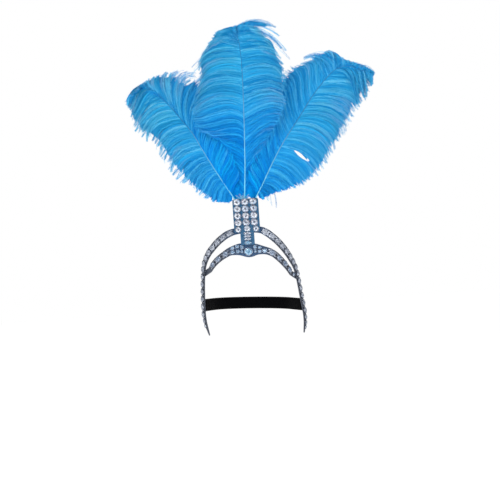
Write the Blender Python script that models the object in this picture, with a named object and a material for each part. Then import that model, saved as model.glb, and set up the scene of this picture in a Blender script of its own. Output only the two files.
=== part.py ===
"""Flapper feather headband: two stone-set bands, a post of crystals and three ostrich plumes.

X runs to the viewer's right, Y away from the viewer and Z up. The origin is on the inner face
of the front band, at the middle of the forehead. Tables and sizes are in millimetres.
"""
import math
from collections import namedtuple

import bmesh
import bpy
from mathutils import Vector

MM = 0.001

# Driving sizes in millimetres
BACKING = 2.0
SEAM = 0.3
STONE_LIFT = 0.1
END_LIFT = 0.2
CREST_THICK = 2.5
SETTING_PLATE = 0.8
SETTING_HIGH = 1.6
STONE_HIGH = 1.7
STRING_WIDE = 9.4
STRING_SHARE = 0.78
STRING_LONG = 12.8
ARCH_PITCH = 13.6
ARCH_START = 25.0
ARCH_STONES = 14
POST_STONE = 11.9
POST_FOOT_STONE = 10.6
QUILL_RADIUS = 1.6
STRAP_WIDE = 22.0
STRAP_THICK = 1.3
STRAP_LIFT = 0.3
STRAP_LEAVES = 70.0
STRAP_LEFT_Z = -93.5
STRAP_RIGHT_Z = -103.5
STRAP_UNDER_LEG = (4.0, 0.0, -4.5)
# Where the elastic runs free between the legs and the head, as x and y
STRAP_FREE_LEFT = ((-84.9, 72.5), (-80.3, 87.0), (-75.2, 104.0))
STRAP_FREE_RIGHT = ((75.2, 104.0), (80.8, 87.0), (86.6, 72.5))
HEAD_HALF_WIDE = 74.0
HEAD_HALF_DEEP = 86.0
HEAD_MIDDLE_Y = 92.0

# Each strip is a table of places on its inner face: turn is how far the face looks sideways
StripRow = namedtuple("StripRow", "x y z turn wide")

ARCH_LEFT = (
    (0.0, 0.0, 36.0, 0.0, 11.0),
    (-22.0, 0.8, 34.0, -3.0, 11.5),
    (-35.0, 3.0, 30.0, -8.0, 12.5),
    (-44.5, 6.0, 24.3, -14.0, 12.5),
    (-54.0, 11.0, 17.0, -20.0, 12.5),
    (-63.0, 18.0, 7.8, -28.0, 12.5),
    (-70.8, 26.5, -1.5, -38.0, 12.5),
    (-77.4, 38.0, -14.0, -50.0, 12.5),
    (-80.6, 46.0, -25.0, -60.0, 12.5),
    (-82.6, 52.0, -38.0, -66.0, 12.5),
    (-84.4, 56.5, -57.0, -68.0, 12.5),
    (-85.6, 59.0, -77.0, -68.0, 12.5),
    (-86.6, 60.0, -96.0, -68.0, 12.5),
    (-86.2, 60.0, -113.0, -68.0, 12.0),
    (-84.8, 58.0, -125.5, -67.0, 10.0),
    (-82.2, 55.0, -136.5, -66.0, 6.5),
    (-79.4, 51.5, -147.0, -64.0, 2.4),
)

ARCH_RIGHT = (
    (0.0, 0.0, 36.0, 0.0, 11.0),
    (22.0, 0.8, 34.0, 3.0, 11.5),
    (33.0, 3.0, 28.5, 8.0, 12.5),
    (42.5, 6.0, 20.6, 14.0, 12.5),
    (51.0, 11.0, 12.0, 20.0, 12.5),
    (59.2, 18.0, 1.8, 28.0, 12.5),
    (67.0, 26.5, -10.2, 38.0, 12.5),
    (72.6, 35.5, -21.0, 48.0, 12.5),
    (77.6, 44.5, -32.0, 58.0, 12.5),
    (80.6, 51.0, -43.0, 65.0, 12.5),
    (83.2, 56.0, -60.0, 68.0, 12.5),
    (85.6, 59.0, -79.0, 68.0, 12.5),
    (87.6, 60.0, -95.0, 68.0, 12.5),
    (89.4, 60.5, -109.0, 68.0, 12.5),
    (90.6, 59.5, -122.0, 68.0, 12.0),
    (90.4, 58.0, -134.0, 68.0, 10.0),
    (89.0, 55.0, -144.0, 66.0, 6.5),
    (87.2, 51.5, -153.5, 64.0, 2.4),
)

# The front band's ends lie under the legs, between these heights
BAND_END_LEFT = (-31.0, -42.0)
BAND_END_RIGHT = (-46.0, -58.0)

FRONT_BAND = (
    (-69.8, 36.0, -30.5, -52.0, 10.5),
    (-64.0, 28.0, -22.3, -45.0, 11.5),
    (-57.5, 20.5, -15.5, -37.0, 12.0),
    (-49.5, 13.8, -9.5, -28.0, 12.2),
    (-41.0, 9.0, -4.4, -20.0, 12.8),
    (-33.0, 5.5, -0.4, -14.0, 14.4),
    (-24.0, 2.6, 1.5, -8.0, 17.6),
    (-15.0, 0.9, 2.2, -4.0, 21.0),
    (-7.5, 0.2, 1.0, -2.0, 22.6),
    (-0.9, 0.0, -0.6, 0.0, 23.6),
    (5.2, 0.1, -0.2, 1.0, 22.0),
    (12.0, 0.6, 0.2, 3.0, 19.6),
    (20.0, 1.8, -0.8, 6.0, 16.4),
    (28.0, 3.7, -2.6, 11.0, 13.6),
    (36.0, 6.4, -5.4, 17.0, 12.6),
    (43.5, 10.0, -10.0, 24.0, 12.2),
    (51.0, 15.5, -17.2, 32.0, 12.2),
    (58.5, 22.5, -26.0, 41.0, 12.0),
    (65.5, 31.0, -36.0, 50.0, 11.5),
    (70.8, 38.5, -46.0, 58.0, 10.5),
)

# The parts of the front band that carry oval stones, and where each string starts on it,
# how long one stone's place is, and how many there are
BAND_LEFT_PART = FRONT_BAND[:7]
BAND_RIGHT_PART = FRONT_BAND[13:]
BAND_LEFT_STONES = (9.2, 17.4, 3)
BAND_RIGHT_STONES = (4.8, 16.6, 4)

# Corners of the post and of the stem below it
POST_LEFT, POST_RIGHT = -23.0, 22.4
POST_TOP, POST_FOOT = 90.0, 31.5
STEM_LEFT, STEM_RIGHT = -12.9, 11.4
STEM_FOOT = 9.0
CORNER = 2.0

# Stones on the crest and beside the drop stone: name, x, z, size across and size up
POST_COLUMNS = (("left", -15.4), ("middle", -1.2), ("right", 12.9))
POST_ROWS = (84.6, 72.4, 60.2, 48.4)
POST_FOOT_STONES = (("left", -16.0, 36.8), ("right", 15.2, 36.8))
STEM_STONES = (
    ("stem_stone_1", -0.2, 37.6, 9.4, 9.0),
    ("stem_stone_2", -0.5, 29.4, 11.0, 4.6),
    ("stem_stone_3", -0.6, 24.2, 10.4, 4.2),
    ("stem_stone_4", -0.6, 19.3, 9.8, 4.2),
)
LOZENGE = ("stem_lozenge", -0.4, 13.0, 9.6, 7.4)
DROP = ("drop_stone", -0.4, -3.2, 13.6, 14.6)
CLUSTER = (
    ("cluster_stone_left_1", -11.3, 5.7, 6.4, 6.4),
    ("cluster_stone_left_2", -18.9, 7.6, 7.2, 5.6),
    ("cluster_stone_left_3", -27.4, 5.6, 7.6, 5.6),
    ("cluster_stone_left_4", -11.6, -1.6, 5.0, 5.4),
    ("cluster_stone_left_5", -18.6, -1.0, 7.2, 5.8),
    ("cluster_stone_left_6", -27.4, -1.6, 8.2, 6.2),
    ("cluster_stone_right_1", 10.6, 5.2, 6.4, 6.4),
    ("cluster_stone_right_2", 18.2, 3.5, 6.8, 4.8),
    ("cluster_stone_right_3", 10.8, -2.2, 5.0, 5.4),
    ("cluster_stone_right_4", 17.8, -3.2, 7.2, 5.4),
    ("cluster_stone_right_5", 27.2, -2.9, 8.6, 6.6),
)

# Stations along each plume: the quill, then where the barbs end on its left and right
PlumeRow = namedtuple("PlumeRow", "x y z left_x left_z right_x right_z")
PLUME_MIDDLE = (
    (-0.5, -0.4, 98.0, -13.0, 134.0, 14.0, 134.0),
    (1.6, -2.8, 122.0, -25.0, 160.0, 28.0, 158.0),
    (3.8, -6.2, 150.0, -43.0, 188.0, 45.0, 186.0),
    (5.0, -9.0, 175.0, -60.0, 206.0, 58.0, 206.0),
    (6.4, -11.0, 200.0, -77.0, 219.0, 70.0, 226.0),
    (7.4, -12.0, 225.0, -79.0, 239.0, 78.0, 248.0),
    (8.4, -13.0, 250.0, -75.0, 261.0, 81.0, 270.0),
    (9.2, -13.5, 275.0, -68.0, 284.0, 82.0, 290.0),
    (9.9, -14.0, 300.0, -62.0, 305.0, 82.0, 308.0),
    (10.0, -15.0, 325.0, -64.0, 326.0, 76.0, 326.0),
    (9.4, -17.0, 345.0, -55.0, 348.0, 70.0, 346.0),
    (8.0, -20.0, 362.0, -44.0, 368.0, 60.0, 362.0),
    (6.0, -24.0, 374.0, -29.0, 385.0, 48.0, 376.0),
    (4.8, -26.5, 381.0, -13.0, 396.0, 37.0, 391.0),
    (3.6, -28.0, 386.0, 9.0, 403.0, 20.0, 404.0),
)
PLUME_LEFT = (
    (-23.5, 0.0, 99.0, -28.0, 86.0, -19.5, 136.0),
    (-35.0, 1.8, 119.0, -52.0, 87.0, -30.0, 160.0),
    (-49.0, 4.0, 143.5, -77.0, 101.0, -36.0, 194.0),
    (-61.0, 6.0, 166.0, -100.0, 120.0, -38.0, 225.0),
    (-72.4, 8.0, 188.0, -119.0, 140.0, -40.0, 251.0),
    (-84.0, 9.0, 211.0, -133.0, 160.0, -44.0, 275.0),
    (-96.0, 9.5, 228.0, -142.0, 181.0, -51.0, 295.0),
    (-109.0, 9.5, 246.0, -155.0, 199.0, -64.0, 309.0),
    (-122.0, 9.0, 263.0, -170.0, 213.0, -84.0, 316.0),
    (-136.0, 7.0, 279.0, -183.0, 228.0, -107.0, 318.0),
    (-149.0, 4.0, 292.0, -186.0, 244.0, -130.0, 316.0),
    (-163.0, -1.0, 297.0, -187.0, 256.0, -149.0, 311.0),
    (-176.0, -7.0, 291.0, -190.0, 263.0, -166.0, 301.0),
    (-187.0, -12.0, 279.0, -193.0, 268.0, -184.0, 284.0),
)
PLUME_RIGHT = (
    (22.4, 0.0, 97.0, 20.5, 134.0, 28.0, 87.5),
    (32.0, 1.8, 113.5, 33.0, 152.0, 52.0, 95.0),
    (45.0, 4.0, 137.0, 43.0, 185.0, 80.0, 101.0),
    (57.0, 6.0, 158.0, 49.0, 215.0, 103.0, 108.0),
    (70.0, 8.0, 179.0, 54.0, 243.0, 122.0, 120.0),
    (84.0, 9.0, 199.0, 61.0, 268.0, 141.0, 140.0),
    (98.0, 9.5, 218.0, 73.0, 290.0, 155.0, 160.0),
    (112.0, 9.5, 237.0, 92.0, 309.0, 171.0, 184.0),
    (126.0, 9.0, 256.5, 112.0, 318.0, 188.0, 207.0),
    (140.0, 7.0, 273.5, 130.0, 322.0, 205.0, 231.0),
    (155.5, 4.0, 290.0, 146.0, 329.0, 219.0, 252.0),
    (172.5, -1.0, 304.0, 164.0, 336.0, 228.0, 268.0),
    (192.0, -7.0, 308.0, 187.0, 321.0, 233.0, 278.0),
    (214.0, -11.0, 301.0, 213.0, 309.0, 237.0, 285.0),
    (230.0, -14.0, 291.5, 231.0, 298.0, 239.0, 288.5),
)
# The bare foot of each quill, behind the post
FOOT_MIDDLE = ((-1.4, -0.4, 52.0), (-1.2, -0.4, 84.0))
FOOT_LEFT = ((-6.2, -0.4, 68.0), (-15.0, -0.4, 84.0))
FOOT_RIGHT = ((5.6, -0.4, 68.0), (14.8, -0.4, 84.0))
LOCKS = 21
LOCK_STEPS = 4
LOCK_THICK = 4.6
TIP_THICK = 1.4
BARB_LIFT = 0.16
LOCK_WAVE = 2.2
MIDDLE_FALL = 6.0
SIDE_FALL = 1.0
LOCK_INSET = (0.0, 0.02, 0.035, 0.07, 0.22)

MATERIALS = {
    "backing_cloth": ((0.02, 0.09, 0.14), 0.85, 0.0),
    "band_backing": ((0.035, 0.04, 0.05), 0.85, 0.0),
    "silver_setting": ((0.62, 0.64, 0.68), 0.25, 1.0),
    "crystal": ((0.78, 0.88, 0.95), 0.05, 0.0),
    "blue_crystal": ((0.35, 0.66, 0.85), 0.05, 0.0),
    "blue_plume": ((0.03, 0.35, 0.75), 0.6, 0.0),
    "black_elastic": ((0.01, 0.01, 0.01), 0.8, 0.0),
}


def clear_scene():
    for thing in list(bpy.data.objects):
        bpy.data.objects.remove(thing, do_unlink=True)


def material(name):
    found = bpy.data.materials.get(name)
    if found:
        return found
    colour, rough, metal = MATERIALS[name]
    made = bpy.data.materials.new(name)
    made.use_nodes = True
    shader = made.node_tree.nodes["Principled BSDF"]
    shader.inputs["Base Color"].default_value = (*colour, 1.0)
    shader.inputs["Roughness"].default_value = rough
    shader.inputs["Metallic"].default_value = metal
    made.diffuse_color = (*colour, 1.0)
    return made


def add_object(name, points, faces, finish, smooth_angle=None):
    """Make one closed piece from points in millimetres."""
    mesh = bpy.data.meshes.new(name)
    mesh.from_pydata([Vector(point) * MM for point in points], [], faces)
    body = bmesh.new()
    body.from_mesh(mesh)
    bmesh.ops.recalc_face_normals(body, faces=body.faces)
    body.to_mesh(mesh)
    body.free()
    if smooth_angle:
        mesh.shade_smooth()
        mesh.set_sharp_from_angle(angle=math.radians(smooth_angle))
    mesh.materials.append(material(finish))
    piece = bpy.data.objects.new(name, mesh)
    bpy.context.scene.collection.objects.link(piece)
    return piece


def spline(rows, place):
    """Read a table at a place from 0 to 1 along it, on a smooth curve through its rows."""
    spans = len(rows) - 1
    at = min(max(place, 0.0), 1.0) * spans
    span = min(int(at), spans - 1)
    t = at - span
    before = rows[max(span - 1, 0)]
    after = rows[min(span + 2, spans)]
    values = []
    for p0, p1, p2, p3 in zip(before, rows[span], rows[span + 1], after):
        bend = 2 * p0 - 5 * p1 + 4 * p2 - p3
        twist = 3 * (p1 - p2) + p3 - p0
        values.append(p1 + 0.5 * t * (p2 - p0 + t * (bend + t * twist)))
    return values


class Strip:
    """A flat band that follows a table, read by its length along the inner face."""

    FINE = 30

    def __init__(self, rows):
        self.rows = rows
        steps = self.FINE * (len(rows) - 1)
        self.places = [step / steps for step in range(steps + 1)]
        self.lengths = [0.0]
        last = Vector(spline(rows, 0.0)[:3])
        for place in self.places[1:]:
            here = Vector(spline(rows, place)[:3])
            self.lengths.append(self.lengths[-1] + (here - last).length)
            last = here
        self.length = self.lengths[-1]

    def place_of(self, distance):
        for index in range(1, len(self.lengths)):
            if self.lengths[index] >= distance:
                span = self.lengths[index] - self.lengths[index - 1]
                part = (distance - self.lengths[index - 1]) / span
                low, high = self.places[index - 1], self.places[index]
                return low + part * (high - low)
        return 1.0

    def frame(self, distance):
        """Middle of the inner face, and the directions along, across and out of the band."""
        place = self.place_of(distance)
        row = StripRow(*spline(self.rows, place))
        small = 0.002
        ahead = Vector(spline(self.rows, place + small)[:3])
        behind = Vector(spline(self.rows, place - small)[:3])
        along = (ahead - behind).normalized()
        turn = math.radians(row.turn)
        out = Vector((math.sin(turn), -math.cos(turn), 0.0))
        out = (out - out.dot(along) * along).normalized()
        across = out.cross(along)
        return Vector((row.x, row.y, row.z)), along, across, out, row.wide

    def distance_at_height(self, z, start):
        """The length at which the band, going down from start, passes the height z."""
        for index, place in enumerate(self.places):
            if self.lengths[index] > start and spline(self.rows, place)[2] <= z:
                return self.lengths[index]
        return self.length


def loft(name, sections, finish, smooth_angle=None):
    """Join sections with the same number of points into one closed solid."""
    count = len(sections[0])
    points = [point for section in sections for point in section]
    faces = []
    for ring in range(len(sections) - 1):
        for side in range(count):
            a = ring * count + side
            b = ring * count + (side + 1) % count
            faces.append((a, b, b + count, a + count))
    faces.append(tuple(range(count)))
    last = (len(sections) - 1) * count
    faces.append(tuple(last + side for side in reversed(range(count))))
    return add_object(name, points, faces, finish, smooth_angle)


def slab_section(frame, low, high, wide):
    """Four corners of a band, between two heights above its inner face."""
    middle, _, across, out, _ = frame
    half = across * wide / 2
    return [
        middle + half + out * low,
        middle + half + out * high,
        middle - half + out * high,
        middle - half + out * low,
    ]


def join_tables(left, right):
    """One table from the end of the left half to the end of the right half."""
    return tuple(reversed(left)) + tuple(right[1:])


def outer_arch():
    strip = Strip(join_tables(ARCH_LEFT, ARCH_RIGHT))
    count = 104
    sections = []
    for step in range(count + 1):
        frame = strip.frame(strip.length * step / count)
        sections.append(slab_section(frame, 0.0, BACKING, frame[4]))
    return loft("outer_arch", sections, "band_backing")


def under_leg(rows, height):
    """Two points, on the band's inner and outer face, where it lies under the middle of a leg."""
    strip = Strip(rows)
    frame = strip.frame(strip.distance_at_height(height, strip.length * 0.25))
    middle, _, _, out, _ = frame
    inner = middle - out * (SEAM + END_LIFT + BACKING)
    return inner, inner + out * BACKING


def front_band():
    strip = Strip(FRONT_BAND)
    count = 46
    sections = []
    for step in range(count + 1):
        frame = strip.frame(strip.length * step / count)
        sections.append(slab_section(frame, 0.0, BACKING, frame[4]))
    ends = []
    for rows, heights in ((ARCH_LEFT, BAND_END_LEFT), (ARCH_RIGHT, BAND_END_RIGHT)):
        top_in, top_out = under_leg(rows, heights[0])
        low_in, low_out = under_leg(rows, heights[1])
        ends.append((top_in, top_out, low_out, low_in))
    upper_first = sections[0][0].z > sections[0][3].z
    order = (0, 1, 2, 3) if upper_first else (3, 2, 1, 0)
    sections.insert(0, [ends[0][index] for index in order])
    sections.append([ends[1][index] for index in order])
    return loft("front_band", sections, "band_backing")


def crest():
    """The stem and the wide post, cut as one plate."""
    corners = (
        (STEM_LEFT, STEM_FOOT),
        (STEM_LEFT, POST_FOOT),
        (POST_LEFT + CORNER, POST_FOOT),
        (POST_LEFT, POST_FOOT + CORNER),
        (POST_LEFT, POST_TOP - CORNER),
        (POST_LEFT + CORNER, POST_TOP),
        (POST_RIGHT - CORNER, POST_TOP),
        (POST_RIGHT, POST_TOP - CORNER),
        (POST_RIGHT, POST_FOOT + CORNER),
        (POST_RIGHT - CORNER, POST_FOOT),
        (STEM_RIGHT, POST_FOOT),
        (STEM_RIGHT, STEM_FOOT),
    )
    back = -(BACKING + SEAM)
    front = back - CREST_THICK
    sections = [[(x, y, z) for x, z in corners] for y in (back, front)]
    return loft("crest", sections, "backing_cloth")


def stone_rings(sides, wide, tall, point):
    """Rings of a stone in its cup: base, rim, the stone's edge inside the rim, and its table."""
    rings = []
    heights = (
        (0.90, 0.0),
        (1.00, SETTING_HIGH),
        (0.80, SETTING_HIGH),
        (0.46, SETTING_HIGH + STONE_HIGH),
    )
    for scale, height in heights:
        ring = []
        for side in range(sides):
            angle = 2 * math.pi * (side + (0.0 if point else 0.5)) / sides
            across = math.sin(angle) * scale * wide / 2
            up = math.cos(angle) * scale * tall / 2
            if point:
                across *= 1.0 - 0.42 * max(0.0, -math.cos(angle)) ** 2
            ring.append((across, up, height))
        rings.append(ring)
    return rings


def single_stone(name, x, z, wide, tall, base, finish, sides=12, point=False):
    """A stone in its cup, on a base point that gives the way out of the cloth."""
    place, out = base(x, z)
    across = Vector((0.0, 0.0, 1.0)).cross(out).normalized()
    up = out.cross(across).normalized()
    sections = []
    for ring in stone_rings(sides, wide, tall, point):
        sections.append([place + across * a + up * u + out * h for a, u, h in ring])
    return loft(name, sections, finish)


def on_crest(x, z):
    return Vector((x, -(BACKING + SEAM + CREST_THICK + SEAM), z)), Vector((0.0, -1.0, 0.0))


def on_front_band(x, z):
    """A place just above the outer face of the front band, seen from the front at x and z."""
    strip = Strip(FRONT_BAND)
    steps = 300
    nearest = None
    for step in range(steps + 1):
        frame = strip.frame(strip.length * step / steps)
        middle, along, across, _, _ = frame
        aside = abs((x - middle.x) * along.x + (z - middle.z) * along.z)
        if nearest is None or aside < nearest[0]:
            nearest = (aside, frame)
    middle, _, across, out, _ = nearest[1]
    reach = (x - middle.x) * across.x + (z - middle.z) * across.z
    return middle + across * reach + out * (BACKING + SEAM + STONE_LIFT), out


def crest_stones():
    for row, height in enumerate(POST_ROWS, start=1):
        for column, x in POST_COLUMNS:
            name = f"post_stone_{column}_{row}"
            single_stone(name, x, height, POST_STONE, POST_STONE, on_crest, "crystal")
    for column, x, height in POST_FOOT_STONES:
        name = f"post_stone_{column}_5"
        single_stone(name, x, height, POST_FOOT_STONE, POST_FOOT_STONE, on_crest, "crystal")
    for name, x, z, wide, tall in STEM_STONES:
        single_stone(name, x, z, wide, tall, on_crest, "crystal", sides=8)
    single_stone(*LOZENGE, on_crest, "blue_crystal", sides=8)


def band_middle_stones():
    for name, x, z, wide, tall in CLUSTER:
        single_stone(name, x, z, wide, tall, on_front_band, "crystal", sides=10)
    single_stone(*DROP, on_front_band, "blue_crystal", sides=16, point=True)


def string_width(frame):
    return min(STRING_WIDE, frame[4] * STRING_SHARE)


def stone_string(name, rows, start, pitch, stones):
    """A string of oval stones in settings that share one thin plate, laid along a band."""
    strip = Strip(rows)
    low = BACKING + SEAM
    plate = low + SETTING_PLATE
    points = []
    faces = []
    for cell in range(stones + 1):
        frame = strip.frame(start + cell * pitch)
        points.extend(slab_section(frame, low, plate, string_width(frame)))
    # The plate's back has one more row in the middle of each cell, so that it follows the band
    middles = len(points)
    for cell in range(stones):
        frame = strip.frame(start + (cell + 0.5) * pitch)
        section = slab_section(frame, low, plate, string_width(frame))
        points.extend((section[0], section[3]))
    for cell in range(stones):
        a = cell * 4
        b = a + 4
        upper = middles + cell * 2
        lower = upper + 1
        faces.append((a, a + 1, b + 1, b, upper))
        faces.append((a + 2, a + 3, lower, b + 3, b + 2))
        faces.append((a + 3, a, upper, lower))
        faces.append((lower, upper, b, b + 3))
    faces.append((0, 1, 2, 3))
    last = stones * 4
    faces.append((last + 3, last + 2, last + 1, last))
    sides = 8
    for cell in range(stones):
        frame = strip.frame(start + (cell + 0.5) * pitch)
        middle, along, across, out, _ = frame
        wide = string_width(frame) * 0.94
        tall = min(pitch * 0.86, STRING_LONG)
        first = len(points)
        for scale, height in ((0.94, 0.0), (1.0, 1.1), (0.78, 1.1), (0.42, 2.6)):
            for side in range(sides):
                angle = 2 * math.pi * (side + 0.5) / sides
                go = along * math.cos(angle) * scale * tall / 2
                reach = across * math.sin(angle) * scale * wide / 2
                points.append(middle + go + reach + out * (plate + height))
        for ring in range(3):
            for side in range(sides):
                a = first + ring * sides + side
                b = first + ring * sides + (side + 1) % sides
                faces.append((a, b, b + sides, a + sides))
        faces.append(tuple(first + 3 * sides + side for side in range(sides)))
        # Corners of the plate in the order that the octagon's sides go round
        corner = {
            (1, 1): (cell + 1) * 4 + 1,
            (-1, 1): cell * 4 + 1,
            (-1, -1): cell * 4 + 2,
            (1, -1): (cell + 1) * 4 + 2,
        }
        order = [(1, 1), (1, 1), (-1, 1), (-1, 1), (-1, -1), (-1, -1), (1, -1), (1, -1)]
        for side in range(sides):
            here = corner[order[side]]
            following = corner[order[(side + 1) % sides]]
            a = first + side
            b = first + (side + 1) % sides
            faces.append((here, a, b))
            if following != here:
                faces.append((here, b, following))
    return add_object(name, points, faces, "silver_setting")


def plume(name, stations, foot, fall):
    """A quill with a row of tapering locks down each side, all one body."""
    def quill_frame(place):
        row = PlumeRow(*spline(stations, place))
        small = 0.004
        ahead = Vector(spline(stations, place + small)[:3])
        behind = Vector(spline(stations, place - small)[:3])
        along = (ahead - behind).normalized()
        front = Vector((0.0, -1.0, 0.0))
        front = (front - front.dot(along) * along).normalized()
        return Vector((row.x, row.y, row.z)), along, along.cross(front), front

    def barb(place, part, left):
        """A point on a barb that lifts off the quill and then turns over to its end."""
        row = PlumeRow(*spline(stations, place))
        root, along, _, _ = quill_frame(place)
        end_x, end_z = (row.left_x, row.left_z) if left else (row.right_x, row.right_z)
        end = Vector((end_x, row.y - fall, end_z))
        reach = (end - root).length
        bend = root.lerp(end, 0.55) + along * BARB_LIFT * reach
        return root.lerp(bend, part).lerp(bend.lerp(end, part), part)

    def radius(place):
        return QUILL_RADIUS * (1.0 - 0.5 * place)

    points = []
    faces = []

    def square(middle, side, front, size):
        first = len(points)
        points.extend([
            middle - side * size + front * size,
            middle + side * size + front * size,
            middle + side * size - front * size,
            middle - side * size - front * size,
        ])
        return first

    rings = []
    first_frame = quill_frame(0.0)
    for middle in foot:
        rings.append(square(Vector(middle), first_frame[2], first_frame[3], QUILL_RADIUS))
    bare = len(rings)
    for lock in range(LOCKS + 1):
        place = lock / LOCKS
        middle, _, side, front = quill_frame(place)
        rings.append(square(middle, side, front, radius(place)))
    for index in range(len(rings) - 1):
        a = rings[index]
        b = rings[index + 1]
        faces.append((a, a + 1, b + 1, b))
        faces.append((a + 2, a + 3, b + 3, b + 2))
        if index < bare:
            faces.append((a + 1, a + 2, b + 2, b + 1))
            faces.append((a + 3, a, b, b + 3))
    faces.append(tuple(rings[0] + corner for corner in range(4)))
    faces.append(tuple(rings[-1] + corner for corner in reversed(range(4))))

    for left in (True, False):
        corners = (0, 3) if left else (1, 2)
        for lock in range(LOCKS):
            a = rings[bare + lock]
            b = rings[bare + lock + 1]
            previous = (a + corners[0], b + corners[0], b + corners[1], a + corners[1])
            low = lock / LOCKS
            high = (lock + 1) / LOCKS
            for step in range(1, LOCK_STEPS + 1):
                part = step / LOCK_STEPS
                inset = LOCK_INSET[step] * (high - low)
                thick = LOCK_THICK + (TIP_THICK - LOCK_THICK) * part ** 2
                wave = (LOCK_WAVE if lock % 2 else -LOCK_WAVE) * part
                first = len(points)
                near, far = low + inset, high - inset
                for place, half in ((near, 1), (far, 1), (far, -1), (near, -1)):
                    spot = barb(place, part, left)
                    points.append(spot + Vector((0.0, wave - half * thick / 2, 0.0)))
                ring = (first, first + 1, first + 2, first + 3)
                for side in range(4):
                    following = (side + 1) % 4
                    faces.append((previous[side], previous[following], ring[following], ring[side]))
                previous = ring
            faces.append(previous)
    return add_object(name, points, faces, "blue_plume")


def strap_row(rows, height, reach):
    """A place on the inner side of a leg, a given way across it, and how the leg leans there."""
    strip = Strip(rows)
    middle, along, across, out, _ = strip.frame(strip.distance_at_height(height, strip.length * 0.25))
    towards_face = across if across.x * middle.x < 0 else -across
    spot = middle + towards_face * reach - out * (SEAM + STRAP_LIFT + STRAP_THICK / 2)
    return spot.x, spot.y, along.x / along.z, along.y / along.z


def elastic_strap():
    """Elastic from leg to leg: on each leg, a free stretch, then round the back of the head."""
    route = [strap_row(ARCH_LEFT, STRAP_LEFT_Z, reach) for reach in STRAP_UNDER_LEG]
    route.extend((x, y, 0.0, 0.0) for x, y in STRAP_FREE_LEFT)
    turns = 13
    for turn in range(turns):
        # Round the back of the head, between the places where the elastic leaves it
        angle = math.radians(STRAP_LEAVES * (2.0 * turn / (turns - 1) - 1.0))
        x = HEAD_HALF_WIDE * math.sin(angle)
        y = HEAD_MIDDLE_Y + HEAD_HALF_DEEP * math.cos(angle)
        route.append((x, y, 0.0, 0.0))
    route.extend((x, y, 0.0, 0.0) for x, y in STRAP_FREE_RIGHT)
    route.extend(strap_row(ARCH_RIGHT, STRAP_RIGHT_Z, reach) for reach in reversed(STRAP_UNDER_LEG))
    first_x, last_x = route[0][0], route[-1][0]
    sections = []
    count = 64
    for step in range(count + 1):
        place = step / count
        x, y, lean_x, lean_y = spline(route, place)
        ahead = spline(route, place + 0.002)
        behind = spline(route, place - 0.002)
        run = Vector((ahead[0] - behind[0], ahead[1] - behind[1], 0.0)).normalized()
        side = Vector((run.y, -run.x, 0.0)) * STRAP_THICK / 2
        part = (x - first_x) / (last_x - first_x)
        middle = Vector((x, y, STRAP_LEFT_Z + (STRAP_RIGHT_Z - STRAP_LEFT_Z) * part))
        half = Vector((lean_x, lean_y, 1.0)) * STRAP_WIDE / 2
        sections.append([
            middle + side + half,
            middle - side + half,
            middle - side - half,
            middle + side - half,
        ])
    return loft("elastic_strap", sections, "black_elastic")


def build():
    clear_scene()
    outer_arch()
    front_band()
    crest()
    crest_stones()
    band_middle_stones()
    stone_string("arch_stones_left", ARCH_LEFT, ARCH_START, ARCH_PITCH, ARCH_STONES)
    stone_string("arch_stones_right", ARCH_RIGHT, ARCH_START, ARCH_PITCH, ARCH_STONES)
    stone_string("band_stones_left", tuple(reversed(BAND_LEFT_PART)), *BAND_LEFT_STONES)
    stone_string("band_stones_right", BAND_RIGHT_PART, *BAND_RIGHT_STONES)
    plume("plume_middle", PLUME_MIDDLE, FOOT_MIDDLE, MIDDLE_FALL)
    plume("plume_left", PLUME_LEFT, FOOT_LEFT, SIDE_FALL)
    plume("plume_right", PLUME_RIGHT, FOOT_RIGHT, SIDE_FALL)
    elastic_strap()


build()
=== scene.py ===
import math

import bmesh
import bpy
import numpy as np
from mathutils import Matrix, Vector


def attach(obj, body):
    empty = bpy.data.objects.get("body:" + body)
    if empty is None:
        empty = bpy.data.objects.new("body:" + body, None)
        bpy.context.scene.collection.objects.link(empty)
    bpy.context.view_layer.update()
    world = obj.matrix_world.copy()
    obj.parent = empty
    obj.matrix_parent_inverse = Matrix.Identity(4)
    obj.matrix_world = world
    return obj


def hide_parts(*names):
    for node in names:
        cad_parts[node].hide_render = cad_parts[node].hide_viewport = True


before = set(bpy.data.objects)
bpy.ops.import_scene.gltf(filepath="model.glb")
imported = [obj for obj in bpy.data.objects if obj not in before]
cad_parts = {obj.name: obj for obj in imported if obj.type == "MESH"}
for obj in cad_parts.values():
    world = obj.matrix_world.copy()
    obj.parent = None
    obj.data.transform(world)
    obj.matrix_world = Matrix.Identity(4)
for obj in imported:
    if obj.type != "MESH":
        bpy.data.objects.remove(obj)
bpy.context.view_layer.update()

MM = 0.001
UP = np.array((0.0, 0.0, 1.0))

# Sizes that the bands and stones share with the solids, in millimetres
BACKING = 2.0
SEAM = 0.3
END_LIFT = 0.2
CREST_THICK = 2.5
SETTING_PLATE = 0.8
STRING_WIDE = 9.4
STRING_SHARE = 0.78
STRING_LONG = 12.8
STONE_LIFT = 0.1
SETTING_HIGH = 1.6
STONE_HIGH = 1.7
ARCH_PITCH = 13.6
ARCH_START = 25.0
ARCH_STONES = 14
BAND_LEFT_STONES = (9.2, 17.4, 3)
BAND_RIGHT_STONES = (4.8, 16.6, 4)
POST_STONE = 11.9
POST_FOOT_STONE = 10.6
STRAP_WIDE = 22.0
STRAP_THICK = 1.3
STRAP_LIFT = 0.3
STRAP_LEAVES = 70.0
STRAP_LEFT_Z = -93.5
STRAP_RIGHT_Z = -103.5
STRAP_UNDER_LEG = (4.0, 0.0, -4.5)
STRAP_FREE_LEFT = ((-84.9, 72.5), (-80.3, 87.0), (-75.2, 104.0))
STRAP_FREE_RIGHT = ((75.2, 104.0), (80.8, 87.0), (86.6, 72.5))
HEAD_HALF_WIDE = 74.0
HEAD_HALF_DEEP = 86.0
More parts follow.
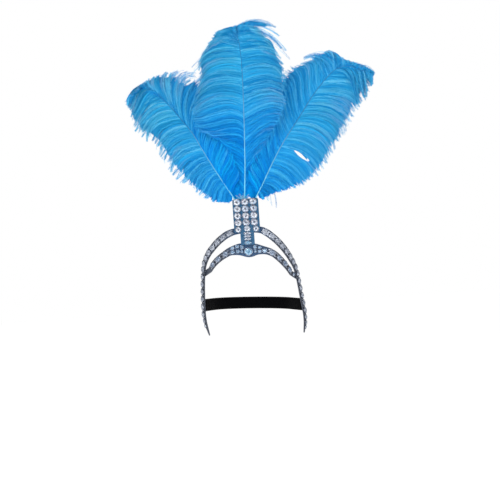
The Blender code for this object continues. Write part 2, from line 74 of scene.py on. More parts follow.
HEAD_MIDDLE_Y = 92.0
POST_LEFT, POST_RIGHT = -23.0, 22.4
POST_TOP, POST_FOOT = 90.0, 31.5
STEM_LEFT, STEM_RIGHT = -12.9, 11.4
STEM_FOOT = 9.0
CORNER = 2.0

# Stones on the post, the stem and the front band: x, z, size across and size up
POST_COLUMNS = (("left", -15.4), ("middle", -1.2), ("right", 12.9))
POST_ROWS = (84.6, 72.4, 60.2, 48.4)
POST_FOOT_STONES = (("left", -16.0, 36.8), ("right", 15.2, 36.8))
STEM_STONES = (
    (-0.2, 37.6, 9.4, 9.0),
    (-0.5, 29.4, 11.0, 4.6),
    (-0.6, 24.2, 10.4, 4.2),
    (-0.6, 19.3, 9.8, 4.2),
)
LOZENGE = (-0.4, 13.0, 9.6, 7.4)
DROP = (-0.4, -3.2, 13.6, 14.6)
CLUSTER = {
    "left": (
        (-11.3, 5.7, 6.4, 6.4),
        (-18.9, 7.6, 7.2, 5.6),
        (-27.4, 5.6, 7.6, 5.6),
        (-11.6, -1.6, 5.0, 5.4),
        (-18.6, -1.0, 7.2, 5.8),
        (-27.4, -1.6, 8.2, 6.2),
    ),
    "right": (
        (10.6, 5.2, 6.4, 6.4),
        (18.2, 3.5, 6.8, 4.8),
        (10.8, -2.2, 5.0, 5.4),
        (17.8, -3.2, 7.2, 5.4),
        (27.2, -2.9, 8.6, 6.6),
    ),
}
CREST_FACE = -(BACKING + SEAM + CREST_THICK)

# Places on the inner face of each band: x, y, z, how far it faces sideways, and its width
ARCH_LEFT = (
    (0, 0, 36, 0, 11),
    (-22, 0.8, 34, -3, 11.5),
    (-35, 3, 30, -8, 12.5),
    (-44.5, 6, 24.3, -14, 12.5),
    (-54, 11, 17, -20, 12.5),
    (-63, 18, 7.8, -28, 12.5),
    (-70.8, 26.5, -1.5, -38, 12.5),
    (-77.4, 38, -14, -50, 12.5),
    (-80.6, 46, -25, -60, 12.5),
    (-82.6, 52, -38, -66, 12.5),
    (-84.4, 56.5, -57, -68, 12.5),
    (-85.6, 59, -77, -68, 12.5),
    (-86.6, 60, -96, -68, 12.5),
    (-86.2, 60, -113, -68, 12),
    (-84.8, 58, -125.5, -67, 10),
    (-82.2, 55, -136.5, -66, 6.5),
    (-79.4, 51.5, -147, -64, 2.4),
)
ARCH_RIGHT = (
    (0, 0, 36, 0, 11),
    (22, 0.8, 34, 3, 11.5),
    (33, 3, 28.5, 8, 12.5),
    (42.5, 6, 20.6, 14, 12.5),
    (51, 11, 12, 20, 12.5),
    (59.2, 18, 1.8, 28, 12.5),
    (67, 26.5, -10.2, 38, 12.5),
    (72.6, 35.5, -21, 48, 12.5),
    (77.6, 44.5, -32, 58, 12.5),
    (80.6, 51, -43, 65, 12.5),
    (83.2, 56, -60, 68, 12.5),
    (85.6, 59, -79, 68, 12.5),
    (87.6, 60, -95, 68, 12.5),
    (89.4, 60.5, -109, 68, 12.5),
    (90.6, 59.5, -122, 68, 12),
    (90.4, 58, -134, 68, 10),
    (89, 55, -144, 66, 6.5),
    (87.2, 51.5, -153.5, 64, 2.4),
)
ARCH = tuple(reversed(ARCH_LEFT)) + ARCH_RIGHT[1:]
FRONT_BAND = (
    (-69.8, 36, -30.5, -52, 10.5),
    (-64, 28, -22.3, -45, 11.5),
    (-57.5, 20.5, -15.5, -37, 12),
    (-49.5, 13.8, -9.5, -28, 12.2),
    (-41, 9, -4.4, -20, 12.8),
    (-33, 5.5, -0.4, -14, 14.4),
    (-24, 2.6, 1.5, -8, 17.6),
    (-15, 0.9, 2.2, -4, 21),
    (-7.5, 0.2, 1, -2, 22.6),
    (-0.9, 0, -0.6, 0, 23.6),
    (5.2, 0.1, -0.2, 1, 23.6),
    (12, 0.6, 0.2, 3, 20.4),
    (20, 1.8, -0.8, 6, 16.4),
    (28, 3.7, -2.6, 11, 13.6),
    (36, 6.4, -5.4, 17, 12.6),
    (43.5, 10, -10, 24, 12.2),
    (51, 15.5, -17.2, 32, 12.2),
    (58.5, 22.5, -26, 41, 12),
    (65.5, 31, -36, 50, 11.5),
    (70.8, 38.5, -46, 58, 10.5),
)

# Stations along each plume: the quill, then where the barbs end on its left and right
PLUMES = {
    "middle": (
        (-0.5, -0.4, 98, -14, 136, 18, 136),
        (1.6, -2.8, 122, -17, 154, 30, 158),
        (3.8, -6.2, 150, -25, 180, 42, 184),
        (5, -9, 175, -42, 203, 56, 206),
        (6.4, -11, 200, -70, 216, 70, 226),
        (7.4, -12, 225, -79, 239, 78, 248),
        (8.4, -13, 250, -75, 261, 81, 270),
        (9.2, -13.5, 275, -68, 284, 82, 290),
        (9.9, -14, 300, -62, 305, 82, 308),
        (10, -15, 325, -64, 326, 76, 326),
        (9.4, -17, 345, -51, 347, 70, 345),
        (8, -20, 362, -41, 366, 60, 360),
        (6, -24, 373, -28, 381, 48, 373),
        (4.8, -26.5, 379, -14, 383, 38, 383),
        (3.6, -28, 383, 4, 387, 24, 390),
    ),
    "left": (
        (-23.5, 0, 99, -28, 86, -8, 136),
        (-35, 1.8, 119, -52, 87, -16, 164),
        (-49, 4, 143.5, -77, 101, -27, 196),
        (-61, 6, 166, -100, 120, -38, 225),
        (-72.4, 8, 188, -119, 140, -40, 251),
        (-84, 9, 211, -133, 160, -44, 275),
        (-96, 9.5, 228, -142, 181, -52, 290),
        (-109, 9.5, 246, -155, 199, -66, 299),
        (-122, 9, 263, -170, 213, -85, 307),
        (-136, 7, 279, -183, 228, -107, 318),
        (-149, 4, 292, -186, 244, -130, 316),
        (-163, -1, 297, -187, 256, -149, 311),
        (-176, -7, 291, -190, 263, -166, 301),
        (-187, -12, 279, -193, 268, -184, 284),
    ),
    "right": (
        (22.4, 0, 97, 9, 134, 28, 87.5),
        (32, 1.8, 113.5, 19, 156, 52, 95),
        (45, 4, 137, 34, 187, 80, 101),
        (57, 6, 158, 49, 215, 103, 108),
        (70, 8, 179, 54, 243, 122, 120),
        (84, 9, 199, 61, 268, 141, 140),
        (98, 9.5, 218, 73, 290, 155, 160),
        (112, 9.5, 237, 92, 309, 171, 184),
        (126, 9, 256.5, 112, 318, 188, 207),
        (140, 7, 273.5, 130, 322, 205, 231),
        (155.5, 4, 290, 146, 329, 219, 252),
        (172.5, -1, 304, 164, 336, 228, 268),
        (192, -7, 308, 187, 321, 233, 278),
        (214, -11, 301, 213, 309, 237, 285),
        (230, -14, 291.5, 231, 298, 239, 288.5),
    ),
}
# The bare foot of each quill behind the post
FEET = {
    "middle": ((-1.4, -0.4, 52.0), (-1.2, -0.4, 84.0)),
    "left": ((-6.2, -0.4, 68.0), (-15.0, -0.4, 84.0)),
    "right": ((5.6, -0.4, 68.0), (14.8, -0.4, 84.0)),
}
# How far the ends of the barbs of each vane fall towards the viewer, at places along the quill
MIDDLE_FALL = ((0, -4), (0.2, -3), (0.38, 6))
OUTER_FALL = ((0, 1), (1, 1))
INNER_FALL = ((0, 6), (0.3, 6), (0.5, 1))
FALLS = {
    ("middle", "left"): MIDDLE_FALL,
    ("middle", "right"): MIDDLE_FALL,
    ("left", "left"): OUTER_FALL,
    ("left", "right"): INNER_FALL,
    ("right", "left"): INNER_FALL,
    ("right", "right"): OUTER_FALL,
}
# The same for the ends of single locks
LOCK_FALLS = {"middle": 6.0, "left": 1.0, "right": 1.0}
# How unequal the barbs near the foot are, as a part of their length
LOOSE_FOOT = {"middle": 0.30, "left": 0.0, "right": 0.0}
# How much lighter the barbs of each plume are made
LIGHTER = {"middle": 0.02, "left": 0.09, "right": 0.06}


# Small helpers for node materials
def add_node(tree, kind, inputs=None, **settings):
    node = tree.nodes.new(kind)
    for key, value in settings.items():
        setattr(node, key, value)
    for key, value in (inputs or {}).items():
        node.inputs[key].default_value = value
    return node


def wire(source, output, target, socket):
    source.id_data.links.new(source.outputs[output], target.inputs[socket])


def add_ramp(source, output, *stops):
    """A colour ramp read by a node's output. The colour at a stop may be one number, for a grey."""
    node = add_node(source.id_data, "ShaderNodeValToRGB")
    points = node.color_ramp.elements
    while len(points) < len(stops):
        points.new(0.5)
    for point, (place, colour) in zip(points, stops):
        point.position = place
        point.color = (*np.broadcast_to(colour, 3), 1.0)
    wire(source, output, node, "Fac")
    return node


def mix_colours(share, share_out, first, first_out, second, second_out):
    """Blend two colours by a share from 0 to 1."""
    node = add_node(share.id_data, "ShaderNodeMix", data_type="RGBA")
    wire(share, share_out, node, 0)
    wire(first, first_out, node, 6)
    wire(second, second_out, node, 7)
    return node


def map_range(source, output, inputs, **settings):
    node = add_node(source.id_data, "ShaderNodeMapRange", inputs, **settings)
    wire(source, output, node, "Value")
    return node


def multiply(first, first_out, second, second_out):
    node = add_node(first.id_data, "ShaderNodeMath", operation="MULTIPLY")
    wire(first, first_out, node, 0)
    wire(second, second_out, node, 1)
    return node


def texture(place, kind, inputs, **settings):
    """A texture that reads the object's own coordinates."""
    node = add_node(place.id_data, kind, inputs, **settings)
    wire(place, "Object", node, "Vector")
    return node


def split(source, output):
    node = add_node(source.id_data, "ShaderNodeSeparateXYZ")
    wire(source, output, node, "Vector")
    return node


def add_bump(shader, source, output, strength, distance):
    node = add_node(shader.id_data, "ShaderNodeBump", {"Strength": strength, "Distance": distance})
    wire(source, output, node, "Height")
    wire(node, "Normal", shader, "Normal")


def new_material(name, inputs):
    """A material with its node tree and its shader, whose even values are set."""
    made = bpy.data.materials.new(name)
    made.use_nodes = True
    shader = made.node_tree.nodes["Principled BSDF"]
    for key, value in inputs.items():
        shader.inputs[key].default_value = value
    return made, made.node_tree, shader


def feather_material():
    """Dyed barbs: deep near the foot from dyeing and from painted shade between the quills, each strand a
    little different, greyer towards its end.
    """
    made, tree, shader = new_material("feather_dye_and_painted_shade", {"Roughness": 0.5, "Specular IOR Level": 0.05})
    parts = split(add_node(tree, "ShaderNodeAttribute", attribute_name="strand"), "Vector")
    plain = add_ramp(
        parts, "Y", (0.0, (0.005, 0.25, 0.56)), (0.20, (0.028, 0.42, 0.72)),
        (0.50, (0.095, 0.58, 0.83)), (1.0, (0.26, 0.76, 0.95)))
    deep = add_ramp(
        parts, "Y", (0.0, (0.0, 0.18, 0.64)), (0.4, (0.0, 0.35, 0.88)), (1.0, (0.004, 0.56, 0.99)))
    # Plain blue is mixed towards deep blue by the depth of dyeing and painted shade between the quills
    deep_mix = mix_colours(parts, "Z", plain, "Color", deep, "Color")
    ends = map_range(parts, "X", {"From Min": 0.70, "From Max": 1.05, "To Max": 0.62})
    not_deep = add_node(tree, "ShaderNodeMath", {0: 1.0}, operation="SUBTRACT")
    wire(parts, "Z", not_deep, 1)
    steely = multiply(ends, "Result", not_deep, "Value")
    steel = add_ramp(parts, "Y", (0.0, (0.035, 0.20, 0.42)), (1.0, (0.16, 0.40, 0.62)))
    tipped = mix_colours(steely, "Value", deep_mix, 2, steel, "Color")
    haze = add_node(tree, "ShaderNodeAttribute", attribute_name="grey")
    outer = map_range(
        parts, "X", {"From Min": 0.25, "From Max": 0.75, "To Max": 0.7}, interpolation_type="SMOOTHSTEP")
    hazy = multiply(haze, "Fac", outer, "Result")
    pale = add_ramp(parts, "Y", (0.0, (0.14, 0.36, 0.66)), (1.0, (0.32, 0.52, 0.80)))
    final = mix_colours(hazy, "Value", tipped, 2, pale, "Color")
    wire(final, 2, shader, "Base Color")
    return made


def quill_material():
    """Quill: pale blue horn at the foot, taking the dyeing further up, with a fine grain."""
    made, tree, shader = new_material("quill_horn", {"Roughness": 0.35})
    parts = split(add_node(tree, "ShaderNodeAttribute", attribute_name="strand"), "Vector")
    colour = add_ramp(
        parts, "X", (0.0, (0.20, 0.74, 0.92)), (0.72, (0.09, 0.36, 0.64)), (1.0, (0.006, 0.21, 0.48)))
    wire(colour, "Color", shader, "Base Color")
    add_bump(shader, add_node(tree, "ShaderNodeTexNoise", {"Scale": 900.0}), "Fac", 0.3, 0.0002)
    return made


def cloth_material(name, middle, side, spread):
    """Glitter cloth: a weave with small bright flecks, in one colour at the middle and one at the sides."""
    made, tree, shader = new_material(name, {"Sheen Weight": 0.15})
    place = add_node(tree, "ShaderNodeTexCoord")
    aside = add_node(tree, "ShaderNodeMath", operation="ABSOLUTE")
    wire(split(place, "Object"), "X", aside, 0)
    share = map_range(aside, "Value", {"From Min": spread[0], "From Max": spread[1]})
    base = add_ramp(share, "Result", (0.0, middle), (1.0, side))
    flecks = texture(place, "ShaderNodeTexVoronoi", {"Scale": 1400.0})
    fleck = add_ramp(flecks, "Color", (0.0, 0.0), (0.72, 0.05), (1.0, 1.0))
    mixed = add_node(tree, "ShaderNodeMix", {"Factor": 0.14}, data_type="RGBA", blend_type="ADD")
    wire(base, "Color", mixed, 6)
    wire(fleck, "Color", mixed, 7)
    wire(mixed, 2, shader, "Base Color")
    weave = texture(
        place, "ShaderNodeTexWave", {"Scale": 700.0, "Distortion": 2.0},
        wave_type="BANDS", bands_direction="DIAGONAL")
    add_bump(shader, weave, "Fac", 0.5, 0.0003)
    wire(add_ramp(flecks, "Color", (0.0, 0.75), (1.0, 0.2)), "Color", shader, "Roughness")
    return made


def metal_material(name, dull, bright):
    """Silver-plated cups, a little uneven and dulled in places."""
    made, tree, shader = new_material(name, {"Metallic": 1.0})
    place = add_node(tree, "ShaderNodeTexCoord")
    grain = texture(place, "ShaderNodeTexNoise", {"Scale": 260.0, "Detail": 6.0})
    wire(add_ramp(grain, "Fac", (0.3, dull), (0.7, bright)), "Color", shader, "Base Color")
    wire(add_ramp(grain, "Fac", (0.3, 0.38), (0.7, 0.16)), "Color", shader, "Roughness")
    add_bump(shader, grain, "Fac", 0.15, 0.0002)
    return made


def crystal_material(name, metallic, rough, *tints):
    """Foil-backed cut stone: each facet is painted with its own reflection, from dark to bright, under a
    clear hard surface.
    """
    made, tree, shader = new_material(name, {
        "Metallic": metallic, "Roughness": rough, "Coat Weight": 0.6, "Coat Roughness": 0.10})
    facet = add_node(tree, "ShaderNodeAttribute", attribute_name="facet")
    wire(add_ramp(facet, "Fac", *tints), "Color", shader, "Base Color")
    return made


def elastic_material():
    """Black knitted elastic with ribs along its length."""
    made, tree, shader = new_material("black_elastic_knit", {"Roughness": 0.8, "Specular IOR Level": 0.03})
    place = add_node(tree, "ShaderNodeTexCoord")
    ribs = texture(place, "ShaderNodeTexWave", {"Scale": 260.0}, wave_type="BANDS", bands_direction="Z")
    grain = texture(place, "ShaderNodeTexNoise", {"Scale": 1800.0})
    both = multiply(ribs, "Fac", grain, "Fac")
    add_bump(shader, both, "Value", 0.8, 0.0005)
    # Painted shade: the colour follows the same ribs and grain as the bump, darker where they are low
    colour = add_ramp(both, "Value", (0.0, (0.0004, 0.0005, 0.0008)), (1.0, (0.008, 0.008, 0.010)))
    wire(colour, "Color", shader, "Base Color")
    return made


# Small helpers for meshes
def quick_mesh(name, points, faces, sharp=False):
    """A mesh from an array of points in millimetres and arrays of faces with 3 or 4 corners."""
    mesh = bpy.data.meshes.new(name)
    points = np.asarray(points, dtype=np.float64) * MM
    mesh.vertices.add(len(points))
    mesh.vertices.foreach_set("co", points.astype(np.float32).ravel())
    faces = [np.asarray(block) for block in faces]
    loops = np.concatenate([block.ravel() for block in faces]).astype(np.int32)
    sizes = np.concatenate([np.full(len(block), block.shape[1]) for block in faces]).astype(np.int32)
    starts = np.concatenate([[0], np.cumsum(sizes)[:-1]]).astype(np.int32)
    mesh.loops.add(len(loops))
    mesh.loops.foreach_set("vertex_index", loops)
    mesh.polygons.add(len(sizes))
    mesh.polygons.foreach_set("loop_start", starts)
    mesh.polygons.foreach_set("loop_total", sizes)
    mesh.polygons.foreach_set("use_smooth", np.full(len(sizes), not sharp))
    mesh.update(calc_edges=True)
    return mesh


def keep_values(mesh, name, kind, domain, values):
    """Keep values for the points or faces of a mesh, for its material to read."""
    layer = mesh.attributes.new(name, kind, domain)
    key = "vector" if kind == "FLOAT_VECTOR" else "value"
    layer.data.foreach_set(key, np.asarray(values, dtype=np.float32).ravel())


def add_object(name, data):
    made = bpy.data.objects.new(name, data)
    bpy.context.scene.collection.objects.link(made)
    return made


def add_piece(name, mesh, material, slot, *replaced):
    """A visible piece, in place of the nodes of the solids that it replaces."""
    piece = add_object(name, mesh)
    mesh.materials.append(material)
    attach(piece, "root")
    if replaced:
        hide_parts(*replaced)
    return piece


def ring_faces(count, sides):
    """Faces of a closed form through rings of points: quads round it, then a fan over each end."""
    base = np.arange(count - 1)[:, None] * sides
    here = base + np.arange(sides)[None, :]
    following = base + (np.arange(sides)[None, :] + 1) % sides
    quads = np.stack([here, following, following + sides, here + sides], axis=-1).reshape(-1, 4)
    last = (count - 1) * sides
    caps = [(0, side + 1, side) for side in range(1, sides - 1)]
    caps += [(last, last + side, last + side + 1) for side in range(1, sides - 1)]
    return quads, np.array(caps)


def read_rows(rows, places):
    """Read a table at many places from 0 to 1, on a smooth curve through its rows."""
    rows = np.asarray(rows, dtype=float)
    spans = len(rows) - 1
    at = np.clip(places, 0.0, 1.0) * spans
    span = np.minimum(at.astype(int), spans - 1)
    t = (at - span)[:, None]
    p0 = rows[np.maximum(span - 1, 0)]
    p1 = rows[span]
    p2 = rows[span + 1]
    p3 = rows[np.minimum(span + 2, spans)]
    return p1 + 0.5 * t * (p2 - p0 + t * (2 * p0 - 5 * p1 + 4 * p2 - p3 + t * (3 * (p1 - p2) + p3 - p0)))


def unit(vectors):
    return vectors / np.maximum(np.linalg.norm(vectors, axis=-1, keepdims=True), 1e-9)


def clamp(values):
    """Keep values between 0 and 1."""
    return np.clip(values, 0.0, 1.0)


# Plumes. How the barbs lie along each vane, from the foot to the tip in five steps: the direction
# in which a barb leaves the quill and the one in which it ends, in degrees from +X towards +Z, how
# far along the outline its end is moved, how deep its dyeing and painted shade are (the painted
# shade lies between the quills, near their feet), and how ragged its end is
VANES = {
    ("middle", "left"): (
        (112, 104, 0, 0.95, 0.3),
        (120, 128, 0, 0.85, 0.4),
        (158, 232, -0.08, 0.25, 0.5),
        (162, 238, -0.07, 0.15, 0.6),
        (154, 140, -0.1, 0.25, 0.4),
    ),
    ("middle", "right"): (
        (66, 70, 0, 0.95, 0.3),
        (36, -5, 0, 0.75, 0.3),
        (18, -50, -0.07, 0.35, 0.5),
        (16, -55, -0.05, 0.2, 0.7),
        (26, -12, -0.02, 0.3, 1),
    ),
    ("left", "left"): (
        (196, 232, 0, 0.85, 1.4),
        (182, 238, 0.05, 0.45, 1.3),
        (178, 246, 0.06, 0.2, 1.3),
        (172, 250, 0.05, 0.15, 1.2),
        (200, 240, 0, 0.4, 0.6),
    ),
    ("left", "right"): (
        (108, 92, 0, 1, 0.3),
        (100, 92, 0.06, 0.85, 0.4),
        (98, 50, 0.14, 0.35, 1.4),
        (118, 70, 0.12, 0.3, 1.6),
        (170, 220, 0.03, 0.45, 0.6),
    ),
    ("right", "left"): (
        (82, 92, 0, 1, 0.3),
        (118, 112, 0, 0.75, 0.4),
        (114, 156, 0, 0.45, 0.5),
        (104, 196, 0, 0.4, 0.6),
        (50, -10, 0.03, 0.45, 0.6),
    ),
    ("right", "right"): (
        (-16, -52, 0, 0.85, 0.7),
        (-6, -62, 0.04, 0.5, 0.6),
        (2, -74, 0.05, 0.25, 0.6),
        (6, -80, 0.02, 0.3, 1.2),
        (-4, -62, -0.1, 0.4, 2.4),
    ),
}
# Single locks: place on the quill, end x and z, the directions in which it leaves and ends,
# how many barbs, how far their ends spread, and how deep the dyeing and painted shade are
LOCKS = {
    "middle": (
        (0.95, 56, 384, 36, -14, 50, 2.4, 0.5),
        (0.92, 46, 387, 48, -8, 54, 2, 0.6),
        (0.9, 33, 389.5, 64, 0, 54, 1.8, 0.5),
        (0.87, 18, 388.5, 98, 12, 54, 1.8, 0.4),
        (0.84, 4, 386, 126, 20, 54, 2, 0.4),
        (0.81, -10, 383, 146, 22, 54, 2, 0.3),
        (0.78, -23, 378, 154, 30, 46, 2, 0.3),
        (0.97, 64, 384, 40, -16, 10, 1.6, 0.4),
        (0.95, 73, 380, 44, -26, 8, 1.4, 0.4),
        (0.92, 78, 366, 36, -42, 8, 1.4, 0.4),
        (0.89, 88, 339, 30, -50, 6, 1.4, 0.4),
        (0.86, 94, 324, 26, -52, 3, 1.4, 0.4),
        (0.86, 80, 344, 26, -60, 8, 1.8, 0.4),
        (0.74, -76, 322, 160, 226, 3, 2, 0.3),
        (0.7, -82, 306, 162, 232, 3, 2, 0.3),
    ),
    "left": (
        (0.66, -172, 285, 128, 222, 46, 4, 0.55),
        (0.72, -184, 277, 140, 226, 46, 4, 0.55),
        (0.8, -191, 267, 160, 236, 40, 4, 0.5),
        (0.6, -150, 302, 118, 205, 36, 4, 0.5),
        (0.56, -102, 320, 104, 20, 18, 4, 0.6),
        (0.53, -88, 317, 100, 4, 12, 5, 0.6),
        (0.5, -74, 312, 98, -14, 12, 5, 0.6),
        (0.47, -60, 308, 94, 30, 12, 4, 0.6),
        (0.6, -122, 320, 112, 40, 18, 3, 0.6),
        (0.63, -138, 316, 116, 60, 18, 3, 0.6),
    ),
    "right": (
        (0.74, 121, 329, 110, 200, 18, 3, 0.5),
        (0.78, 136, 332, 104, 190, 22, 4, 0.55),
        (0.8, 188, 318, 62, -24, 40, 3, 0.55),
        (0.84, 206, 309, 46, -28, 44, 3, 0.55),
        (0.88, 224, 301, 36, -30, 44, 3, 0.55),
        (0.92, 238, 291, 20, -42, 40, 2.4, 0.5),
        (0.94, 234, 274, 2, -74, 26, 2.2, 0.3),
        (0.9, 226, 262, 4, -70, 16, 2, 0.3),
        (0.86, 219, 252, 6, -68, 30, 2.2, 0.3),
        (0.8, 208, 242, 8, -80, 34, 2.4, 0.3),
        (0.1, 53.5, 71, -20, -88, 2, 0.6, 0.3),
        (0.07, 46, 75, -30, -80, 2, 0.8, 0.3),
        (0.05, 39, 84, -40, -75, 2, 0.8, 0.3),
    ),
}
# The fan of barbs at the foot of each quill and in the down between the quills: its middle
# direction and its half width, in degrees
FOOT_FANS = {"middle": (90.0, 42.0), "left": (78.0, 34.0), "right": (102.0, 34.0)}
FLUFF_FAN = (90.0, 50.0)
FIRST_PLUME_SEED = 11
BARB_POINTS = 15
BARB_STEPS = np.linspace(0.0, 1.0, BARB_POINTS)
# How many barbs there are on each vane, in its soft under layer, at a foot and in the down
BARBS = 430
UNDER_RIBBONS = 150
FOOT_BARBS = 90
FLUFF_BARBS = 28
# How wide a barb of each kind is at its root, and the under layer's ribbons at their widest
BARB_WIDE = 0.75
LOCK_WIDE = 0.7
FOOT_WIDE = 1.6
FLUFF_WIDE = 0.5
UNDER_WIDE = 8.5
# How much narrower a barb is at its end, and how far barbs are turned about their length
TAPER = 0.6
FOOT_TAPER = 0.5
TWIST = 0.6
FLAT_TWIST = 0.3
# The hairs on one side of a barb, their length and half their width
BARBULES = 60
LOCK_BARBULES = 36
FLUFF_BARBULES = 20
BARBULE_LONG = 4.4
FLUFF_BARBULE_LONG = 2.0
BARBULE_HALF_WIDE = 0.19
# The shortest and longest barbs at a foot and in the down
FOOT_REACH = (16.0, 62.0)
FLUFF_REACH = (4.0, 10.0)
# The under layer ends inside the outline and is darker, as painted shade behind the barbs
UNDER_REACH = 0.985
UNDER_SHADE = 0.35
# How far a barb keeps its first and its last direction, as parts of its reach
BARB_BENDS = (0.40, 0.36)
LOCK_BEND = 0.42
# The share of barbs that stray from their clump, and how far along the outline they go
STRAY_SHARE = 0.16
STRAY_SHIFT = 0.022
# The fewest and most barbs in a clump, how far they draw together, and how far it stands out
CLUMP_SIZES = (4.0, 11.0)
CLUMP_PULL = 0.80
CLUMP_RELIEF = 2.6
# How far the first direction of barbs varies, in degrees, and how much more for strays
LEAVE_VARIES = 3.0
STRAY_VARIES = 6.0
# How far their last direction varies, by clump, by barb and for strays, and both in a single lock
CLUMP_VARIES = 12.0
BARB_VARIES = 6.0
STRAY_END_VARIES = 9.0
LOCK_VARIES = 7.0
LOCK_SCATTER = 0.6
# How far their lengths vary, by clump and by barb, and the least and the most
CLUMP_LENGTH_VARIES = 0.05
BARB_LENGTH_VARIES = 0.02
LENGTH_LIMITS = (0.8, 1.06)
# How far barbs lie apart in depth, the waves along them, and the share of greyish clumps
LAYER_SPREAD = 4.5
WAVE_LONG = 26.0
WAVE_HIGH = 0.8
WAVE_DEEP = 1.0
GREY_SHARE = 0.22
# The long slit in the right plume, where its barbs have parted, and how far beside it they are moved
SLIT_MIDDLE = (102.3, 159.3)
SLIT_ALONG = (0.724, -0.690)
SLIT_HALF_LONG = 14.0
SLIT_HALF_WIDE = 2.6
SLIT_REACH = 9.0
SLIT_LEAST = 0.3
# How far up each quill is still pale, as a part of its length
PALE_TO = {"middle": 0.62, "left": 0.46, "right": 0.42}
QUILL_RADIUS = (1.05, 0.35)
QUILL_FORWARD = 0.5
QUILL_STEPS = 70
QUILL_SIDES = 8


def headings(angles):
    """Directions seen from the front, for angles in radians from +X towards +Z."""
    return np.stack([np.cos(angles), np.zeros(len(angles)), np.sin(angles)], axis=1)


def clumps(rough, rng):
    """Group neighbouring barbs: for each barb its group, and where it is in the group from -1 to 1."""
    count = len(rough)
    group = np.zeros(count, dtype=int)
    inside = np.zeros(count)
    here = 0
    number = 0
    while here < count:
        size = min(int(rng.uniform(*CLUMP_SIZES) * (0.7 + 0.6 * rough[here])), count - here)
        group[here:here + size] = number
        inside[here:here + size] = (np.arange(size) + 0.5) / size * 2.0 - 1.0
        here += size
        number += 1
    return group, inside, number


def bezier(root, leave, end, arrive):
    """Curves from their roots to their ends, bent by the pulls with which they leave and arrive."""
    t = BARB_STEPS[None, :, None]
    p0, p1, p2, p3 = (p[:, None, :] for p in (root, root + leave, end - arrive, end))
    return (1 - t) ** 3 * p0 + 3 * t * (1 - t) ** 2 * p1 + 3 * t ** 2 * (1 - t) * p2 + t ** 3 * p3


def barb_curves(rows, vane, left, fall, loose, count, rng, clumped=True):
    """Points along the barbs of one vane, with the tone of each barb, which holds painted shade at the edges
    of clumps, the depth of its dyeing and painted shade, and its greyness.
    """
    places = (np.arange(count) + rng.uniform(0.2, 0.8, count)) / count
    start_turn, end_turn, shift, dye_and_shade, ragged = read_rows(vane, places).T
    group, inside, groups = clumps(ragged, rng)
    centre = np.bincount(group, weights=places)[group] / np.bincount(group)[group]
    column = 3 if left else 5

    def outline(at):
        row = read_rows(rows, at)
        depth = row[:, 1] - np.interp(at, *np.array(fall).T)
        return np.stack([row[:, column], depth, row[:, column + 1]], axis=1)

    # Where each barb ends, and the directions in which it leaves and arrives
    noise = rng.normal(0.0, 1.0, groups)[group]
    stray = (rng.uniform(0.0, 1.0, count) < STRAY_SHARE) if clumped else np.zeros(count, dtype=bool)
    wander = stray * rng.normal(0.0, 1.0, count)
    shift = shift + STRAY_SHIFT * wander * clamp(4.0 * places) * clamp(4.0 - 4.0 * places)
    start_turn = start_turn + (LEAVE_VARIES + STRAY_VARIES * stray) * rng.normal(0.0, 1.0, count)
    unruly = CLUMP_VARIES * noise + BARB_VARIES * rng.normal(0.0, 1.0, count)
    end_turn = end_turn + ragged * unruly + STRAY_END_VARIES * wander
    root = read_rows(rows, places)[:, :3]
    end = outline(places + shift)
    clump_end = outline(centre + shift)
    by_clump = ragged * CLUMP_LENGTH_VARIES * rng.normal(0.0, 1.0, groups)[group]
    by_barb = BARB_LENGTH_VARIES * rng.normal(0.0, 1.0, count)
    length = np.clip(1.0 + by_clump + by_barb, *LENGTH_LIMITS)
    length = length * (1.0 + loose * clamp(1.0 - 3.0 * places) * rng.uniform(-1.0, 1.4, count))
    if not clumped:
        length = np.clip(UNDER_REACH - ragged ** 1.6 * (0.06 + 0.035 * noise), 0.5, 1.0)
    end = root + (end - root) * length[:, None]
    clump_end = root + (clump_end - root) * length[:, None]
    reach = np.linalg.norm(end - root, axis=1, keepdims=True)
    leave = headings(np.radians(start_turn)) * reach * BARB_BENDS[0]
    arrive = headings(np.radians(end_turn)) * reach * BARB_BENDS[1]
    curve = bezier(root, leave, end, arrive)

    # Barbs of a clump draw together and stand out a little, and each waves in its own way
    layer = rng.uniform(-1.0, 1.0, groups)[group] * 0.45 + rng.uniform(-1.0, 1.0, count) * 0.55
    if clumped:
        t = BARB_STEPS
        relief = (1.0 - inside ** 2)[:, None]
        away = np.sin(clamp(t * 1.15) * math.pi / 2)[None, :]
        pull = CLUMP_PULL * t ** 3
        curve += (clump_end - end)[:, None, :] * pull[None, :, None] * ~stray[:, None, None]
        curve[..., 1] -= CLUMP_RELIEF * relief * away
        curve[..., 1] += LAYER_SPREAD * layer[:, None] * t[None, :] ** 0.9
        phase = rng.uniform(0.0, 6.283, groups)[group][:, None]
        travel = t[None, :] * reach / WAVE_LONG * 2 * math.pi + phase
        curve[..., 2] += WAVE_HIGH * np.sin(travel) * t[None, :]
        curve[..., 1] += WAVE_DEEP * np.cos(travel) * t[None, :]
    tone = 0.58 * rng.uniform(0.0, 1.0, groups)[group] + 0.42 * rng.uniform(0.0, 1.0, count)
    # Painted shade: barbs at the edges of a clump are darkened, so that its middle reads as the lit top of a
    # rounded lock
    shade = 0.25 + 0.75 * (1.0 - inside ** 2)
    grey = (rng.uniform(0.0, 1.0, groups) < GREY_SHARE)[group] * rng.uniform(0.3, 1.0, count)
    return curve, clamp(tone * shade), clamp(dye_and_shade), grey * clamp(1.2 - dye_and_shade)


